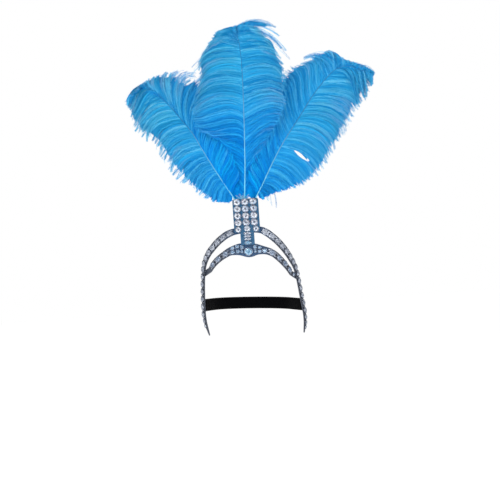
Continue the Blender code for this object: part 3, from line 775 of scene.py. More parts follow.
def lock_curves(rows, lock, fall, rng):
    """Points along the barbs of one single lock, with their tone, the depth of their dyeing and painted
    shade, and their greyness.
    """
    place, end_x, end_z, start_turn, end_turn, count, spread, dye_and_shade = lock
    places = clamp(place + rng.uniform(-0.035, 0.035, count))
    root = read_rows(rows, places)[:, :3]
    aside = rng.normal(0.0, 1.0, count)
    end = np.stack([
        end_x + spread * LOCK_SCATTER * rng.normal(0.0, 1.0, count),
        root[:, 1] - fall - 1.0 + 1.6 * rng.normal(0.0, 1.0, count),
        end_z + spread * LOCK_SCATTER * aside,
    ], axis=1)
    reach = np.linalg.norm(end - root, axis=1, keepdims=True)
    leave = headings(np.radians(start_turn + LOCK_VARIES * rng.normal(0.0, 1.0, count)))
    arrive = headings(np.radians(end_turn + LOCK_VARIES * rng.normal(0.0, 1.0, count)))
    curve = bezier(root, leave * reach * LOCK_BEND, end, arrive * reach * LOCK_BEND)
    curve[..., 1] -= 2.0 * np.sin(BARB_STEPS * math.pi)[None, :]
    tone = clamp(0.33 + 0.28 * rng.normal(0.0, 1.0, count))
    return curve, tone, np.full(count, dye_and_shade), np.zeros(count)


def fan(root, turns, reaches, axis, shifts, bends, rng):
    """Curves that fan out of their roots, with each end shifted a little along one axis."""
    count = len(root)
    leave = headings(np.radians(turns[0] + turns[1] * rng.uniform(-1.0, 1.0, count)))
    reach = rng.uniform(*reaches, (count, 1))
    end = root + leave * reach
    end[:, axis] += rng.uniform(*shifts, count)
    return bezier(root, leave * reach * bends[0], end, UP * reach * bends[1])


def foot_curves(name, rng):
    """Barbs at the deepest dyeing and painted shade that fan out of the foot of a plume, behind the post's
    top edge.
    """
    start = np.array(FEET[name][1])
    finish = np.array(PLUMES[name][0][:3])
    root = start + (finish - start) * rng.uniform(0.0, 1.0, (FOOT_BARBS, 1))
    curve = fan(root, FOOT_FANS[name], FOOT_REACH, 1, (0.5, 4.0), (0.4, 0.3), rng)
    return curve, rng.uniform(0.0, 0.8, FOOT_BARBS), np.full(FOOT_BARBS, 1.0), np.zeros(FOOT_BARBS)


def fluff_curves(rng):
    """A little pale down between the quills, just above the post's top edge."""
    root = np.stack([
        rng.normal(-4.0, 3.0, FLUFF_BARBS),
        rng.uniform(-2.0, -0.6, FLUFF_BARBS),
        rng.uniform(86.0, 90.0, FLUFF_BARBS),
    ], axis=1)
    curve = fan(root, FLUFF_FAN, FLUFF_REACH, 0, (-2.5, 2.5), (0.5, -0.3), rng)
    return curve, np.full(FLUFF_BARBS, 1.0), np.zeros(FLUFF_BARBS), np.full(FLUFF_BARBS, 1.4)


def barb_frames(curve):
    """The direction along each barb at its points, and the two directions across it."""
    ahead = np.concatenate([curve[:, 1:], curve[:, -1:]], axis=1)
    behind = np.concatenate([curve[:, :1], curve[:, :-1]], axis=1)
    tangent = unit(ahead - behind)
    flat = unit(np.cross(tangent, np.array([0.0, 1.0, 0.0])))
    return tangent, flat, np.cross(tangent, flat)


def ribbons(curve, widths, twist):
    """A thin ribbon along each curve."""
    count, steps = curve.shape[:2]
    _, flat, front = barb_frames(curve)
    side = flat * np.cos(twist)[:, None, None] + front * np.sin(twist)[:, None, None]
    half = side * (np.broadcast_to(widths, (count, steps))[..., None] / 2)
    points = np.stack([curve - half, curve + half], axis=2).reshape(-1, 3)
    base = (np.arange(count)[:, None] * steps + np.arange(steps - 1)[None, :]) * 2
    return points, np.stack([base, base + 1, base + 3, base + 2], axis=-1).reshape(-1, 4)


def barbules(curve, twist, number, length, rng):
    """Short hairs down both sides of each barb, one thin triangle each."""
    count, steps = curve.shape[:2]
    tangent, flat, front = barb_frames(curve)
    part = (np.arange(number) + 0.6) / (number + 0.2)
    at = part * (steps - 1)
    low = np.minimum(at.astype(int), steps - 2)
    mix = (at - low)[None, :, None]
    base = curve[:, low] * (1 - mix) + curve[:, low + 1] * mix
    along = tangent[:, low]
    turn = twist[:, None] + rng.normal(0.0, 0.5, (count, number))
    side = flat[:, low] * np.cos(turn)[..., None] + front[:, low] * np.sin(turn)[..., None]
    slant = np.radians(rng.normal(42.0, 9.0, (count, number)))[..., None]
    size = length * (1.0 - 0.35 * part[None, :] ** 2) * rng.uniform(0.6, 1.15, (count, number))
    half = along * BARBULE_HALF_WIDE
    blocks = []
    for sign in (1.0, -1.0):
        tip = base + (along * np.cos(slant) + side * np.sin(slant) * sign) * size[..., None]
        blocks.append(np.stack([base - half, base + half, tip], axis=2).reshape(-1, 3))
    points = np.concatenate(blocks)
    return points, np.arange(len(points)).reshape(-1, 3), part


class PlumeMesh:
    """Gathers the barbs of one plume. Each point keeps how far along its barb it is, the barb's
    tone with its painted shade, the depth of its dyeing and painted shade, and its greyness."""

    def __init__(self):
        self.points, self.quads, self.tris, self.strands, self.greys = [], [], [], [], []
        self.total = 0

    def take(self, points, faces, part, tone, dye_and_shade, grey):
        shape = np.broadcast_shapes(part.shape, tone.shape)
        values = np.stack([np.broadcast_to(v, shape) for v in (part, tone, dye_and_shade)], axis=-1)
        self.points.append(points)
        self.strands.append(values.reshape(-1, 3))
        self.greys.append(np.broadcast_to(grey, shape).ravel())
        (self.quads if faces.shape[1] == 4 else self.tris).append(faces + self.total)
        self.total += len(points)

    def barbs(self, curve, tone, dye_and_shade, grey, widths, twist, rng, hairs=BARBULES, hair_long=BARBULE_LONG):
        points, quads = ribbons(curve, widths, twist)
        part = np.broadcast_to(BARB_STEPS[None, :, None], (1, BARB_POINTS, 2))
        self.take(points, quads, part, *(v[:, None, None] for v in (tone, dye_and_shade, grey)))
        if hairs:
            points, faces, along = barbules(curve, twist, hairs, hair_long, rng)
            part = np.broadcast_to(along[None, None, :, None], (2, 1, hairs, 3))
            self.take(points, faces, part, *(v[None, :, None, None] for v in (tone, dye_and_shade, grey)))

    def mesh(self, name, slit):
        points = np.concatenate(self.points)
        quads = np.concatenate(self.quads)
        tris = np.concatenate(self.tris)
        if slit:
            points, keep = open_slit(points)
            quads, tris = quads[keep(quads)], tris[keep(tris)]
        mesh = quick_mesh(name, points, [quads, tris])
        keep_values(mesh, "strand", "FLOAT_VECTOR", "POINT", np.concatenate(self.strands))
        keep_values(mesh, "grey", "FLOAT", "POINT", np.concatenate(self.greys))
        return mesh


def beside_slit(points):
    """How far points are along the slit, from -1 to 1, how far off to its side, and that side."""
    along = np.array((SLIT_ALONG[0], 0.0, SLIT_ALONG[1]))
    across = np.array((-SLIT_ALONG[1], 0.0, SLIT_ALONG[0]))
    middle = np.array((SLIT_MIDDLE[0], 0.0, SLIT_MIDDLE[1]))
    return (points - middle) @ along / SLIT_HALF_LONG, (points - middle) @ across, across


def open_slit(points):
    """Press the barbs apart along the slit, and leave out what would still cross it."""
    along, off, across = beside_slit(points)
    gap = SLIT_HALF_WIDE * clamp(1.0 - along ** 2) ** 0.8
    share = clamp(1.0 - np.abs(off) / SLIT_REACH)
    push = np.where(np.abs(off) < SLIT_REACH, gap * share, 0.0) * np.sign(off)

    def keep(faces):
        sides = np.sign(off[faces])
        inside = (gap[faces] > SLIT_LEAST).any(axis=1)
        return ~(inside & (sides.min(axis=1) < 0) & (sides.max(axis=1) > 0))

    return points + across * push[:, None], keep


def make_plume(name, rows, material, seed):
    """The barbs of one plume: both vanes, the single locks, the foot and, in the middle, the down."""
    rng = np.random.default_rng(seed)
    plume = PlumeMesh()

    def add_barbs(curves, wide, taper, twist, *hairs):
        twists = rng.normal(0.0, twist, len(curves[0]))
        plume.barbs(*curves, wide * (1.0 - taper * BARB_STEPS), twists, rng, *hairs)

    for side in ("left", "right"):
        vane = (rows, VANES[(name, side)], side == "left", FALLS[(name, side)])
        # The layer of soft barbs, kept thin beside the slit
        curve, tone, dye_and_shade, grey = barb_curves(*vane, 0.0, UNDER_RIBBONS, rng, clumped=False)
        wide = UNDER_WIDE * clamp((1.0 - BARB_STEPS) * 4.5) * clamp(0.3 + 3.0 * BARB_STEPS) + 0.15
        if name == "right":
            along, off, _ = beside_slit(curve)
            wide = np.where(np.abs(along) < 1.2, np.minimum(wide, 0.3 + 1.8 * np.abs(off)), wide)
        twists = rng.normal(0.0, FLAT_TWIST, len(curve))
        # The under layer's tone is lowered by painted shade, for the shadow behind the barbs above it
        plume.barbs(curve, UNDER_SHADE * tone, dye_and_shade, 0.0 * grey, wide, twists, rng, 0)
        curve, tone, dye_and_shade, grey = barb_curves(*vane, LOOSE_FOOT[name], BARBS, rng)
        add_barbs((curve, clamp(tone + LIGHTER[name]), dye_and_shade, grey), BARB_WIDE, TAPER, TWIST)
    for lock in LOCKS[name]:
        add_barbs(lock_curves(rows, lock, LOCK_FALLS[name], rng), LOCK_WIDE, TAPER, TWIST, LOCK_BARBULES)
    add_barbs(foot_curves(name, rng), FOOT_WIDE, FOOT_TAPER, FLAT_TWIST)
    if name == "middle":
        add_barbs(fluff_curves(rng), FLUFF_WIDE, TAPER, TWIST, FLUFF_BARBULES, FLUFF_BARBULE_LONG)
    mesh = plume.mesh(f"plume_{name}_barbs", slit=(name == "right"))
    add_piece(f"plume_{name}_barbs", mesh, material, "blue_plume", f"plume_{name}")


def tube(route, radii, sides):
    """Points and faces of a closed tube along a route, in millimetres."""
    tangent = unit(np.gradient(route, axis=0))
    start = np.array([0.0, 1.0, 0.0]) if abs(tangent[0][1]) < 0.9 else np.array([1.0, 0.0, 0.0])
    first = unit(np.cross(tangent, np.broadcast_to(start, tangent.shape)))
    second = np.cross(tangent, first)
    angle = np.linspace(0.0, 2 * math.pi, sides, endpoint=False)
    ring = first[:, None] * np.cos(angle)[None, :, None] + second[:, None] * np.sin(angle)[None, :, None]
    points = (route[:, None] + ring * radii[:, None, None]).reshape(-1, 3)
    return points, *ring_faces(len(route), sides)


def make_quill(name, rows, material):
    places = np.linspace(0.0, 1.0, QUILL_STEPS)
    foot = np.array(FEET[name])
    route = np.concatenate([foot, read_rows(rows, places)[:, :3]])
    route[:, 1] -= QUILL_FORWARD
    along = np.concatenate([np.zeros(len(foot)), places])
    points, quads, caps = tube(route, np.interp(along, (0.0, 1.0), QUILL_RADIUS), QUILL_SIDES)
    mesh = quick_mesh(f"plume_{name}_quill", points, [quads, caps])
    pale = clamp(along / PALE_TO[name])
    keep_values(mesh, "strand", "FLOAT_VECTOR", "POINT", np.repeat(pale, 3 * QUILL_SIDES))
    add_piece(f"plume_{name}_quill", mesh, material, "blue_plume")


def make_plumes():
    feather = feather_material()
    horn = quill_material()
    for seed, (name, rows) in enumerate(PLUMES.items(), start=FIRST_PLUME_SEED):
        make_plume(name, rows, feather, seed)
        make_quill(name, rows, horn)


# Bands
STITCH_PITCH = 2.6
STITCH_LONG = 1.7
STITCH_RADIUS = 0.22
STITCH_SIDES = 5
STITCH_INSET = 0.85
STITCH_LEAST = 0.3
# How far from a band's ends its stitches stop
ARCH_MARGIN = 14.0
BAND_MARGIN = 2.0
# Places along a stitch as parts of its length, and how far it stands off the cloth there
STITCH_PARTS = np.array([-0.5, -0.32, 0.0, 0.32, 0.5])
STITCH_LIFTS = np.array([-0.08, 0.12, 0.18, 0.12, -0.08])
# How far the edge goes in and out with the stitches
PUCKER = 0.10
ARCH_RINGS = 1150
FRONT_BAND_RINGS = 420
END_RINGS = 14
# The heights between which the front band ends under each leg
BAND_END_LEFT = (-31.0, -42.0)
BAND_END_RIGHT = (-46.0, -58.0)
# The left half of a folded cross-section: how far each point is in from the edge, and its height
FOLD = ((0.75, 0.0), (0.0, 0.45), (0.0, 0.8), (0.30, 1.0), (1.2, 1.0))
# How near the middle a point may be where the band is narrow, as a part of the width
FOLD_LEAST = 0.12
# The point of a folded cross-section that is at the middle of its outer face
RING_FACE = len(FOLD)
# How finely the front band is searched for the place nearest to a stone
BAND_PLACES = 301


class Strip:
    """A flat band that follows a table, read by its length along the inner face."""

    FINE = 30
    NEAR = 0.002

    def __init__(self, rows):
        self.rows = rows
        self.places = np.linspace(0.0, 1.0, self.FINE * (len(rows) - 1) + 1)
        points = read_rows(rows, self.places)[:, :3]
        steps = np.linalg.norm(np.diff(points, axis=0), axis=1)
        self.lengths = np.concatenate([[0.0], np.cumsum(steps)])
        self.heights = points[:, 2]
        self.length = self.lengths[-1]

    def frames(self, distances):
        """Middle of the inner face, the directions along, across and out, and the width."""
        place = np.interp(distances, self.lengths, self.places)
        row = read_rows(self.rows, place)
        ahead = read_rows(self.rows, place + self.NEAR)[:, :3]
        behind = read_rows(self.rows, place - self.NEAR)[:, :3]
        along = unit(ahead - behind)
        turn = np.radians(row[:, 3])
        out = np.stack([np.sin(turn), -np.cos(turn), np.zeros(len(turn))], axis=1)
        out = unit(out - (out * along).sum(axis=1, keepdims=True) * along)
        return row[:, :3], along, np.cross(out, along), out, row[:, 4]

    def frame_at(self, distance):
        """The same at a single place."""
        return [values[0] for values in self.frames(np.array([distance]))]

    def distance_at_height(self, z):
        """The length at which the band, below its first quarter, passes the height z."""
        later = (self.lengths > self.length * 0.25) & (self.heights <= z)
        return self.lengths[np.argmax(later)] if later.any() else self.length


def loft_mesh(name, rings):
    """A closed mesh through rings of the same number of points."""
    return quick_mesh(name, rings.reshape(-1, 3), ring_faces(*rings.shape[:2]))


def folded_ring(middle, across, out, wide):
    """Cross-sections of folded cloth: flat behind, rounded at both edges."""
    profile = [(-1.0, *point) for point in FOLD] + [(0.0, 0.0, 1.0)]
    profile += [(1.0, *point) for point in reversed(FOLD)]
    ring = []
    for sign, inset, height in profile:
        reach = sign * np.maximum(wide / 2 - inset, wide * FOLD_LEAST)
        ring.append(middle + across * reach[:, None] + out * (BACKING * height))
    return np.stack(ring, axis=1)


def under_leg(rows, heights, across):
    """The cross-section of the front band where it ends under the middle of a leg."""
    strip = Strip(rows)
    distances = np.array([strip.distance_at_height(height) for height in heights])
    middle, _, _, out, _ = strip.frames(distances)
    inner = middle - out * (SEAM + END_LIFT + BACKING)
    span = inner[0] - inner[1]
    way = unit(span) if span @ across > 0 else -unit(span)
    centre = inner.mean(axis=0)
    facing = unit(out.mean(axis=0))
    return folded_ring(centre[None], way[None], facing[None], np.array([np.linalg.norm(span)]))[0]


def cloth_band(name, rows, replaced, material, steps, ends=()):
    strip = Strip(rows)
    distances = np.linspace(0.0, strip.length, steps + 1)
    middle, _, across, out, wide = strip.frames(distances)
    pucker = PUCKER * np.sin(distances / STITCH_PITCH * 2 * math.pi)
    rings = folded_ring(middle, across, out, wide + pucker)
    if ends:
        share = np.linspace(0.0, 1.0, END_RINGS)[1:, None, None]
        first = under_leg(*ends[0], across[0])
        last = under_leg(*ends[1], across[-1])
        lead_in = first + (rings[0] - first) * share
        lead_out = rings[-1] + (last - rings[-1]) * share
        rings = np.concatenate([first[None], lead_in[:-1], rings, lead_out])
    add_piece(name, loft_mesh(name, rings), material, "band_backing", replaced)


def stitches(name, rows, material, margin):
    """Short stitches along both edges of a band, just inside its fold."""
    strip = Strip(rows)
    distances = np.arange(margin, strip.length - margin, STITCH_PITCH)
    points, quads, caps = [], [], []
    for middle, along, across, out, wide in zip(*strip.frames(distances)):
        for sign in (-1.0, 1.0):
            spot = middle + across * sign * max(wide / 2 - STITCH_INSET, STITCH_LEAST) + out * BACKING
            route = spot + along * (STITCH_PARTS[:, None] * STITCH_LONG) + out * STITCH_LIFTS[:, None]
            ring, faces, ends = tube(route, np.full(len(route), STITCH_RADIUS), STITCH_SIDES)
            first = len(points) * len(ring)
            points.append(ring)
            quads.append(faces + first)
            caps.append(ends + first)
    mesh = quick_mesh(name, np.concatenate(points), [np.concatenate(quads), np.concatenate(caps)])
    add_piece(name, mesh, material, "band_backing")


# Stones: a cup's profile from its foot up, as parts of its half width and its height, then the
# rounded lip that turns in over the stone's edge, measured from the stone's rim
CUP_SIDES = 16
CUP_PROFILE = ((0.86, 0.0), (0.97, 0.35), (1.0, 0.75), (0.99, 0.92), (0.95, 1.0))
CUP_LIP = ((0.05, 1.0), (0.01, 0.92), (-0.01, 0.70))
# Half the width of a claw in radians, and its height as a part of the cup's
CLAW_HALF = 0.16
CLAW_TOP = 1.12
# How high in its cup a stone's girdle lies, how far up from there to the table the crown's points
# lie, and the size of the star that shows through the table
GIRDLE = 0.72
CROWN = 0.66
STAR = 0.52
# A stone's rim and its table as parts of its cup, for single stones and for strung ones
SINGLE_CUT = (0.88, 0.48)
STRUNG_CUT = (0.86, 0.46)
# The heights of a cup and of the stone above it, for single, strung and small stones
SINGLE_HEIGHTS = (SETTING_HIGH, STONE_HIGH)
STRUNG_HEIGHTS = (SETTING_PLATE + 1.1, 1.5)
SMALL_HEIGHTS = (SETTING_HIGH, 1.2)
# How far the cups flare past the solids: one number for the strings, or across and up
SETTING_SPREAD = 1.10
NO_SPREAD = (1.0, 1.0)
STEM_SPREAD = (1.20, 1.14)
LOZENGE_SPREAD = (1.35, 1.10)
DROP_SPREAD = (1.15, 1.0)
CLUSTER_SPREAD = (1.10, 1.22)
POST_SPREAD = (1.09, 1.02)
# How square the lozenge is: 1 has straight sides and 2 is an oval
LOZENGE_POWER = 1.25
# How much the drop narrows towards its point
DROP_POINT = 0.78
# How much of its place in the string a cup takes up
STRING_PART = 0.90
# Links between strung cups: places across and width as parts of the cup's width, where they
# begin as a part of its length, and their lift and thickness
LINK_PLACES = (-0.26, 0.26)
LINK_WIDE = 0.16
LINK_FROM = 0.40
LINK_LIFT = 0.15
LINK_THICK = 0.7
# The rows of the front band from which its strings run outwards
STRING_LEFT_ROW = 6
STRING_RIGHT_ROW = 13
# Smaller stones that follow the strings towards the tip of each leg: how far along, and how long
LEG_TIP_STONES = {
    "left": ((220.6, 9.6), (229.6, 7.6)),
    "right": ((220.6, 10.0), (230.4, 8.6), (238.6, 7.0)),
}
# The stone before the right leg: its place on the way there, and its size across and along
BEFORE_LEG_SHARE = 0.36
BEFORE_LEG_SIZE = (8.0, 9.4)
# The seed for the painted facet reflections of each set of stones
SEEDS = {
    "arch_stones_left": 4, "arch_stones_right": 5, "band_stones_left": 31, "band_stones_right": 32,
    "post": 41, "stem": 42, "cluster": 43, "blue": 44,
}
# Crystals: how metallic and how rough each is, then painted facet reflections, darkest to brightest
CRYSTALS = {
    "clear_crystal": (
        0.35, 0.12, (0.0, (0.010, 0.014, 0.025)), (0.30, (0.05, 0.07, 0.13)),
        (0.46, (0.40, 0.33, 0.40)), (0.62, (0.36, 0.52, 0.72)), (0.80, (0.78, 0.84, 0.93)), (1.0, 1.0)),
    "pale_smoky_crystal": (
        0.2, 0.2, (0.0, (0.02, 0.06, 0.12)), (0.3, (0.08, 0.16, 0.28)),
        (0.7, (0.24, 0.38, 0.56)), (1.0, (0.54, 0.70, 0.88))),
    "smoky_crystal": (
        0.2, 0.28, (0.0, (0.025, 0.035, 0.055)), (0.3, (0.08, 0.10, 0.15)),
        (0.7, (0.23, 0.26, 0.33)), (1.0, (0.60, 0.64, 0.71))),
    "blue_smoky_crystal": (
        0.2, 0.28, (0.0, (0.01, 0.025, 0.06)), (0.3, (0.04, 0.075, 0.14)),
        (0.7, (0.14, 0.20, 0.31)), (1.0, (0.44, 0.53, 0.66))),
    "pale_blue_crystal": (
        0.2, 0.12, (0.0, (0.03, 0.13, 0.26)), (0.4, (0.12, 0.30, 0.50)), (1.0, (0.42, 0.64, 0.82))),
}


def stone_outline(angle, form):
    """A point on the outline of an oval, a drop or a lozenge, as parts of its half width and height."""
    across, up = np.sin(angle), np.cos(angle)
    if form == "drop":
        across = across * (1.0 - DROP_POINT * np.maximum(0.0, -up) ** 2)
    if form == "lozenge":
        inset = (np.abs(across) ** LOZENGE_POWER + np.abs(up) ** LOZENGE_POWER) ** (-1.0 / LOZENGE_POWER)
        across, up = across * inset, up * inset
    return across, up


class StoneSet:
    """Gathers many stones in their cups, as one mesh of metal and one of cut stone."""

    def __init__(self, name):
        self.name = name
        self.rng = np.random.default_rng(SEEDS[name])
        self.cup_points, self.cup_faces = [], []
        self.points, self.quads, self.tris, self.quad_tints, self.tri_reflections = [], [], [], [], []

    def add(self, placed, size, heights=SINGLE_HEIGHTS, cut=SINGLE_CUT, form="oval"):
        """A stone in its cup, placed by its middle and its directions across, up and out."""
        place, across, up, out = placed
        half_wide, half_tall = size[0] / 2, size[1] / 2
        cup_high, stone_high = heights
        rim, table = cut

        def spot(angle, scale, height):
            a, u = stone_outline(angle, form)
            return place + across * (a * scale * half_wide) + up * (u * scale * half_tall) + out * height

        profile = CUP_PROFILE + tuple((rim + past, height) for past, height in CUP_LIP)
        angles = np.linspace(0.0, 2 * math.pi, CUP_SIDES, endpoint=False)
        first = len(self.cup_points)
        for scale, height in profile:
            self.cup_points += [spot(angle, scale, height * cup_high) for angle in angles]
        self.cup_faces += list(ring_faces(len(profile), CUP_SIDES)[0] + first)
        # Claws bent over the stone at four places
        claw = ((1.0, 0.5), (1.01, CLAW_TOP), (rim - 0.08, CLAW_TOP + 0.1), (rim - 0.10, 1.02))
        for angle in np.radians((45.0, 135.0, 225.0, 315.0)):
            first = len(self.cup_points)
            for scale, height in claw:
                for turn in (-CLAW_HALF, CLAW_HALF):
                    self.cup_points.append(spot(angle + turn, scale, height * cup_high))
            for face in ((0, 1, 3, 2), (2, 3, 5, 4), (4, 5, 7, 6), (0, 2, 4, 6), (1, 7, 5, 3)):
                self.cup_faces.append([first + corner for corner in face])

        # The stone: girdle, crown points, table, and the pattern that shows through the table, each facet
        # painted with its own reflection, from dark to white
        top = cup_high + stone_high
        low = cup_high * GIRDLE
        mid = low + (top - low) * CROWN
        between = (rim + table) / 2 + 0.02
        eighth = math.pi / 4
        girdle = len(self.points)
        crown, flat, star, centre = girdle + 16, girdle + 24, girdle + 32, girdle + 40
        self.points += [spot(side * eighth / 2, rim, low) for side in range(16)]
        self.points += [spot((side + 0.5) * eighth, between, mid) for side in range(8)]
        self.points += [spot(side * eighth, table, top) for side in range(8)]
        self.points += [spot((side + 0.5) * eighth, table * STAR, top) for side in range(8)]
        self.points.append(place + out * top)
        shade = self.rng
        for side in range(8):
            after = (side + 1) % 8
            before = (side - 1) % 8
            self.quads.append((flat + side, crown + before, girdle + 2 * side, crown + side))
            self.quad_tints.append(0.35 + 0.65 * shade.random())
            dark = shade.random()
            for corners, tint in (
                ((flat + side, crown + side, flat + after), 0.55 + 0.45 * shade.random()),
                ((crown + side, girdle + 2 * side, girdle + 2 * side + 1), 0.2 + 0.6 * shade.random()),
                ((crown + side, girdle + 2 * side + 1, girdle + 2 * after), 0.1 + 0.7 * shade.random()),
                ((flat + side, star + side, flat + after), 0.15 + 0.85 * dark),
                ((flat + side, star + before, star + side), 1.0 - 0.8 * dark),
                ((star + before, centre, star + side), 0.05 + 0.95 * shade.random() ** 1.5),
            ):
                self.tris.append(corners)
                self.tri_reflections.append(tint)

    def link(self, start, end, out, wide):
        """A flat link of the chain of settings, between two cups."""
        side = np.cross(out, unit(end - start)) * wide / 2
        first = len(self.cup_points)
        for spot in (start, end):
            for sign in (-1.0, 1.0):
                for height in (0.0, LINK_THICK):
                    self.cup_points.append(spot + side * sign + out * height)
        for face in ((0, 1, 3, 2), (4, 6, 7, 5), (0, 4, 5, 1), (2, 3, 7, 6), (1, 5, 7, 3), (0, 2, 6, 4)):
            self.cup_faces.append([first + corner for corner in face])

    def pieces(self, metal, stone, stone_slot, *replaced):
        name = f"{self.name}_settings"
        cups = quick_mesh(name, self.cup_points, [self.cup_faces], sharp=True)
        add_piece(name, cups, metal, "silver_setting")
        name = f"{self.name}_cut_stones"
        mesh = quick_mesh(name, self.points, [self.quads, self.tris], sharp=True)
        keep_values(mesh, "facet", "FLOAT", "FACE", self.quad_tints + self.tri_reflections)
        add_piece(name, mesh, stone, stone_slot, *replaced)


def stone_string(name, rows, start, pitch, count):
    """A string of oval stones laid along a band, joined by flat links."""
    stones = StoneSet(name)
    strip = Strip(rows)
    middles = strip.frames(start + (np.arange(count) + 0.5) * pitch)
    ends = strip.frames(start + np.arange(count + 1) * pitch)[0]
    low = BACKING + SEAM
    for cell, (middle, along, across, out, wide) in enumerate(zip(*middles)):
        wide = min(STRING_WIDE, wide * STRING_SHARE) * SETTING_SPREAD
        tall = min(pitch * STRING_PART, STRING_LONG)
        placed = (middle + out * (low + STONE_LIFT), across, along, out)
        stones.add(placed, (wide, tall), STRUNG_HEIGHTS, STRUNG_CUT)
        for sign in LINK_PLACES:
            shift = across * (wide * sign)
            for way in (-1.0, 1.0):
                begin = middle + along * (way * tall * LINK_FROM) + shift + out * (low + LINK_LIFT)
                end = ends[cell + (way > 0)] + shift + out * (low + LINK_LIFT)
                stones.link(begin, end, out, wide * LINK_WIDE)
    return stones


def tip_stones(stones, rows, places):
    """Single smaller stones on the narrowing tip of a leg."""
    strip = Strip(rows)
    for distance, tall in places:
        middle, along, across, out, wide = strip.frame_at(distance)
        base = middle + out * (BACKING + SEAM + STONE_LIFT)
        stones.add((base, across, along, out), (wide * STRING_SHARE, tall), SMALL_HEIGHTS, STRUNG_CUT)


def stone_before_leg(stones):
    """One smaller stone where the right end of the front band runs on to the leg."""
    strip = Strip(FRONT_BAND)
    middle, _, _, out, _ = strip.frame_at(strip.length)
    start = middle + out * BACKING
    finish = under_leg(ARCH_RIGHT, BAND_END_RIGHT, UP)[RING_FACE]
    along = unit(finish - start)
    across = unit(np.cross(out, along))
    out = np.cross(along, across)
    place = start + (finish - start) * BEFORE_LEG_SHARE + out * (SEAM + STONE_LIFT)
    stones.add((place, across, along, out), BEFORE_LEG_SIZE, SMALL_HEIGHTS, STRUNG_CUT)


def on_crest(x, z):
    """A place just above the face of the plate, and the way out of it."""
    return np.array((x, CREST_FACE - SEAM, z)), np.array((0.0, -1.0, 0.0))


def on_front_band(x, z):
    """A place just above the outer face of the front band, seen from the front at x and z."""
    strip = Strip(FRONT_BAND)
    middle, along, across, out, _ = strip.frames(np.linspace(0.0, strip.length, BAND_PLACES))
    aside = np.abs((x - middle[:, 0]) * along[:, 0] + (z - middle[:, 2]) * along[:, 2])
    near = np.argmin(aside)
    reach = (x - middle[near, 0]) * across[near, 0] + (z - middle[near, 2]) * across[near, 2]
    return middle[near] + across[near] * reach + out[near] * (BACKING + SEAM + STONE_LIFT), out[near]


def single_stone(stones, row, spread, base, form="oval"):
    x, z, wide, tall = row
    place, out = base(x, z)
    across = unit(np.cross(UP, out))
    up = unit(np.cross(out, across))
    stones.add((place, across, up, out), (wide * spread[0], tall * spread[1]), form=form)


def stone_group(name, rows, spread, base, metal, crystal):
    """A group of single stones, each in place of the node of its name."""
    stones = StoneSet(name)
    for row in rows.values():
        single_stone(stones, row, spread, base)
    stones.pieces(metal, crystal, "crystal", *rows)


def make_stones(metal, bright_metal, crystals):
    for side, rows in (("left", ARCH_LEFT), ("right", ARCH_RIGHT)):
        name = f"arch_stones_{side}"
        strung = stone_string(name, rows, ARCH_START, ARCH_PITCH, ARCH_STONES)
        tip_stones(strung, rows, LEG_TIP_STONES[side])
        strung.pieces(metal, crystals["smoky_crystal"], "silver_setting", name)
    left = stone_string("band_stones_left", FRONT_BAND[STRING_LEFT_ROW::-1], *BAND_LEFT_STONES)
    left.pieces(metal, crystals["blue_smoky_crystal"], "silver_setting", "band_stones_left")
    right = stone_string("band_stones_right", FRONT_BAND[STRING_RIGHT_ROW:], *BAND_RIGHT_STONES)
    stone_before_leg(right)
    right.pieces(metal, crystals["blue_smoky_crystal"], "silver_setting", "band_stones_right")

    rows = {}
    wide, tall = (POST_STONE * spread for spread in POST_SPREAD)
    for number, height in enumerate(POST_ROWS, start=1):
        for column, x in POST_COLUMNS:
            rows[f"post_stone_{column}_{number}"] = (x, height, wide, tall)
    for column, x, height in POST_FOOT_STONES:
        rows[f"post_stone_{column}_5"] = (x, height, POST_FOOT_STONE, POST_FOOT_STONE)
    stone_group("post", rows, NO_SPREAD, on_crest, metal, crystals["clear_crystal"])

    rows = {f"stem_stone_{number}": row for number, row in enumerate(STEM_STONES, start=1)}
    stone_group("stem", rows, STEM_SPREAD, on_crest, bright_metal, crystals["clear_crystal"])

    rows = {}
    for side, places in CLUSTER.items():
        for number, row in enumerate(places, start=1):
            rows[f"cluster_stone_{side}_{number}"] = row
    stone_group("cluster", rows, CLUSTER_SPREAD, on_front_band, metal, crystals["pale_smoky_crystal"])

    blue = StoneSet("blue")
    single_stone(blue, LOZENGE, LOZENGE_SPREAD, on_crest, "lozenge")
    single_stone(blue, DROP, DROP_SPREAD, on_front_band, "drop")
    blue.pieces(metal, crystals["pale_blue_crystal"], "blue_crystal", "stem_lozenge", "drop_stone")


# How far the edges of the plate are rounded
SOFT_EDGE = 0.5


def crest_cloth(material):
    """The stem and the post, cut as one plate with softened edges."""
    corners = (
        (STEM_LEFT, STEM_FOOT), (STEM_LEFT, POST_FOOT), (POST_LEFT + CORNER, POST_FOOT),
        (POST_LEFT, POST_FOOT + CORNER), (POST_LEFT, POST_TOP - CORNER), (POST_LEFT + CORNER, POST_TOP),
        (POST_RIGHT - CORNER, POST_TOP), (POST_RIGHT, POST_TOP - CORNER), (POST_RIGHT, POST_FOOT + CORNER),
        (POST_RIGHT - CORNER, POST_FOOT), (STEM_RIGHT, POST_FOOT), (STEM_RIGHT, STEM_FOOT),
    )
    body = bmesh.new()
    back = -(BACKING + SEAM)
    face = body.faces.new([body.verts.new(Vector((x, back, z)) * MM) for x, z in corners])
    grown = bmesh.ops.extrude_face_region(body, geom=[face])
    moved = [item for item in grown["geom"] if isinstance(item, bmesh.types.BMVert)]
    bmesh.ops.translate(body, verts=moved, vec=Vector((0.0, CREST_FACE - back, 0.0)) * MM)
    bmesh.ops.recalc_face_normals(body, faces=body.faces)
    bmesh.ops.bevel(
        body, geom=list(body.edges), offset=SOFT_EDGE * MM, segments=3, affect="EDGES", profile=0.6)
    mesh = bpy.data.meshes.new("crest_cloth")
    body.to_mesh(mesh)
    body.free()
    mesh.shade_smooth()
    add_piece("crest_cloth", mesh, material, "backing_cloth", "crest")


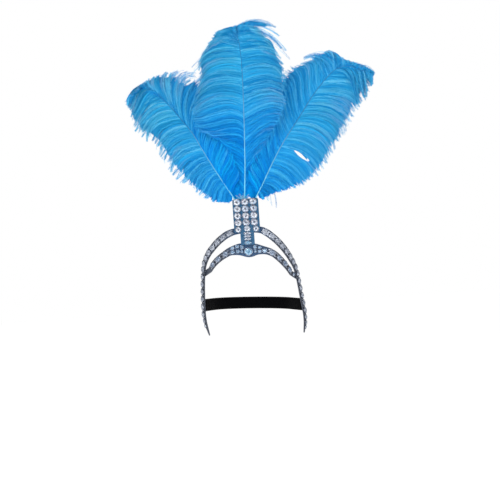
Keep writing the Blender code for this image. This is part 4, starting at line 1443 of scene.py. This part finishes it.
# The strap: its cross-sections, its places behind the head, its ribs, and how far out a rib, a
# groove and an edge lie from its middle, as parts of its thickness
STRAP_RINGS = 261
STRAP_PLACES = 13
STRAP_RIBS = 22
RIB, GROOVE, STRAP_EDGE = 0.5, 0.40, 0.22


def strap_row(rows, height, reach):
    """A place on the inner side of a leg, a given way across it, and how the leg leans there."""
    strip = Strip(rows)
    middle, along, across, out, _ = strip.frame_at(strip.distance_at_height(height))
    towards_face = across if across[0] * middle[0] < 0 else -across
    spot = middle + towards_face * reach - out * (SEAM + STRAP_LIFT + STRAP_THICK / 2)
    return spot[0], spot[1], along[0] / along[2], along[1] / along[2]


def elastic_strap(material):
    """Elastic from leg to leg round the back of the head, with fine ribs and rounded edges."""
    route = [strap_row(ARCH_LEFT, STRAP_LEFT_Z, reach) for reach in STRAP_UNDER_LEG]
    route += [(x, y, 0.0, 0.0) for x, y in STRAP_FREE_LEFT]
    for angle in np.radians(np.linspace(-STRAP_LEAVES, STRAP_LEAVES, STRAP_PLACES)):
        x = HEAD_HALF_WIDE * math.sin(angle)
        route.append((x, HEAD_MIDDLE_Y + HEAD_HALF_DEEP * math.cos(angle), 0.0, 0.0))
    route += [(x, y, 0.0, 0.0) for x, y in STRAP_FREE_RIGHT]
    route += [strap_row(ARCH_RIGHT, STRAP_RIGHT_Z, reach) for reach in reversed(STRAP_UNDER_LEG)]
    places = np.linspace(0.0, 1.0, STRAP_RINGS)
    row = read_rows(route, places)
    run = unit(read_rows(route, places + Strip.NEAR)[:, :2] - read_rows(route, places - Strip.NEAR)[:, :2])
    side = np.stack([run[:, 1], -run[:, 0], np.zeros(len(run))], axis=1)
    part = (row[:, 0] - row[0, 0]) / (row[-1, 0] - row[0, 0])
    middle = np.stack([row[:, 0], row[:, 1], STRAP_LEFT_Z + (STRAP_RIGHT_Z - STRAP_LEFT_Z) * part], axis=1)
    upward = np.stack([row[:, 2], row[:, 3], np.ones(len(row))], axis=1)
    # Down the ribs of the outer face, then up those of the inner face
    rings = []
    face = range(STRAP_RIBS)
    for sign, numbers in ((1.0, face), (-1.0, reversed(face))):
        for number in numbers:
            height = 1.0 - 2.0 * number / (STRAP_RIBS - 1)
            thick = RIB if number % 2 else GROOVE
            if number in (0, STRAP_RIBS - 1):
                thick = STRAP_EDGE
            rings.append(middle + upward * (height * STRAP_WIDE / 2) + side * (sign * thick * STRAP_THICK))
    mesh = loft_mesh("elastic_strap_knit", np.stack(rings, axis=1))
    strap = add_piece("elastic_strap_knit", mesh, material, "black_elastic", "elastic_strap")


def make_bands():
    band_cloth = cloth_material("band_cloth", (0.008, 0.060, 0.16), (0.024, 0.036, 0.065), (0.015, 0.050))
    post_cloth = cloth_material("post_cloth", (0.003, 0.090, 0.21), (0.003, 0.090, 0.21), (0.0, 0.1))
    metal = metal_material("silver_setting_metal", (0.18, 0.21, 0.27), (0.58, 0.62, 0.70))
    bright_metal = metal_material("bright_setting_metal", (0.42, 0.54, 0.66), (0.84, 0.92, 1.0))
    crystals = {name: crystal_material(name, *row) for name, row in CRYSTALS.items()}
    cloth_band("arch_cloth", ARCH, "outer_arch", band_cloth, ARCH_RINGS)
    stitches("arch_stitches", ARCH, band_cloth, ARCH_MARGIN)
    ends = ((ARCH_LEFT, BAND_END_LEFT), (ARCH_RIGHT, BAND_END_RIGHT))
    cloth_band("front_band_cloth", FRONT_BAND, "front_band", band_cloth, FRONT_BAND_RINGS, ends)
    stitches("front_band_stitches", FRONT_BAND, band_cloth, BAND_MARGIN)
    crest_cloth(post_cloth)
    make_stones(metal, bright_metal, crystals)
    elastic_strap(elastic_material())


# Stage, lights and camera
PIXEL = 1.75
LEAN = math.radians(4.0)
CAMERA_AWAY = 2.5
CAMERA_X = 0.0021
FRAME_PIXELS = 500
SENSOR = 36.0
FLOOR_Z = -0.42
FLOOR_HALF = 8.0
# Lights: place, the place each points at, size and power
LIGHTS = {
    "key": ((-1.1, -1.7, 1.3), (0.0, 0.0, 0.15), 1.0, 22.0),
    "fill": ((1.5, -1.5, 0.3), (0.0, 0.0, 0.1), 1.4, 7.0),
    "back": ((0.6, 1.8, 1.0), (0.0, 0.0, 0.15), 1.2, 8.0),
    "sparkle_left": ((-0.5, -1.6, 0.5), (0.0, 0.0, 0.0), 0.35, 1.4),
    "sparkle_right": ((0.7, -1.4, -0.1), (0.0, 0.0, 0.0), 0.35, 1.4),
}


def make_camera():
    data = bpy.data.cameras.new("camera")
    camera = add_object("camera", data)
    data.sensor_width = SENSOR
    data.lens = SENSOR * CAMERA_AWAY / (FRAME_PIXELS * PIXEL * MM)
    data.clip_end = 50.0
    camera.location = (CAMERA_X, -CAMERA_AWAY, 0.0)
    look = Matrix.Rotation(math.radians(90.0), 4, "X")
    camera.rotation_mode = "QUATERNION"
    camera.rotation_quaternion = (look @ Matrix.Rotation(-LEAN, 4, "Z")).to_quaternion()
    bpy.context.scene.camera = camera


def make_floor():
    floor = bpy.data.meshes.new("floor")
    half = FLOOR_HALF
    corners = [(-half, -half, FLOOR_Z), (half, -half, FLOOR_Z), (half, half, FLOOR_Z), (-half, half, FLOOR_Z)]
    floor.from_pydata(corners, [], [(0, 1, 2, 3)])
    piece = add_object("floor", floor)
    floor.materials.append(new_material("pale_floor", {
        "Base Color": (0.86, 0.86, 0.86, 1.0), "Roughness": 0.9,
        "Emission Color": (1.0, 1.0, 1.0, 1.0), "Emission Strength": 0.62})[0])


def make_world():
    """Light that is dimmest at the horizon and brightest above, and a white that only the camera sees."""
    world = bpy.data.worlds.new("studio")
    world.use_nodes = True
    bpy.context.scene.world = world
    tree = world.node_tree
    shade = tree.nodes["Background"]
    parts = split(add_node(tree, "ShaderNodeTexCoord"), "Generated")
    share = map_range(parts, "Z", {"From Min": -1.0})
    sky = add_ramp(share, "Result", (0.0, 0.3), (0.42, 0.25), (0.5, 0.15), (0.62, 0.3), (1.0, 0.6))
    wire(sky, "Color", shade, "Color")
    seen = add_node(tree, "ShaderNodeBackground", {"Color": (1.0, 1.0, 1.0, 1.0)})
    mix = add_node(tree, "ShaderNodeMixShader")
    wire(add_node(tree, "ShaderNodeLightPath"), "Is Camera Ray", mix, "Fac")
    wire(shade, "Background", mix, 1)
    wire(seen, "Background", mix, 2)
    wire(mix, "Shader", tree.nodes["World Output"], "Surface")


def make_stage():
    make_floor()
    for name, (place, target, size, power) in LIGHTS.items():
        data = bpy.data.lights.new(name, "AREA")
        data.size = size
        data.energy = power
        light = add_object(name, data)
        light.location = place
        light.rotation_mode = "QUATERNION"
        light.rotation_quaternion = (Vector(target) - Vector(place)).to_track_quat("-Z", "Y")
    make_world()
    bpy.context.scene.view_settings.view_transform = "Standard"


make_camera()
make_stage()
make_plumes()
make_bands()
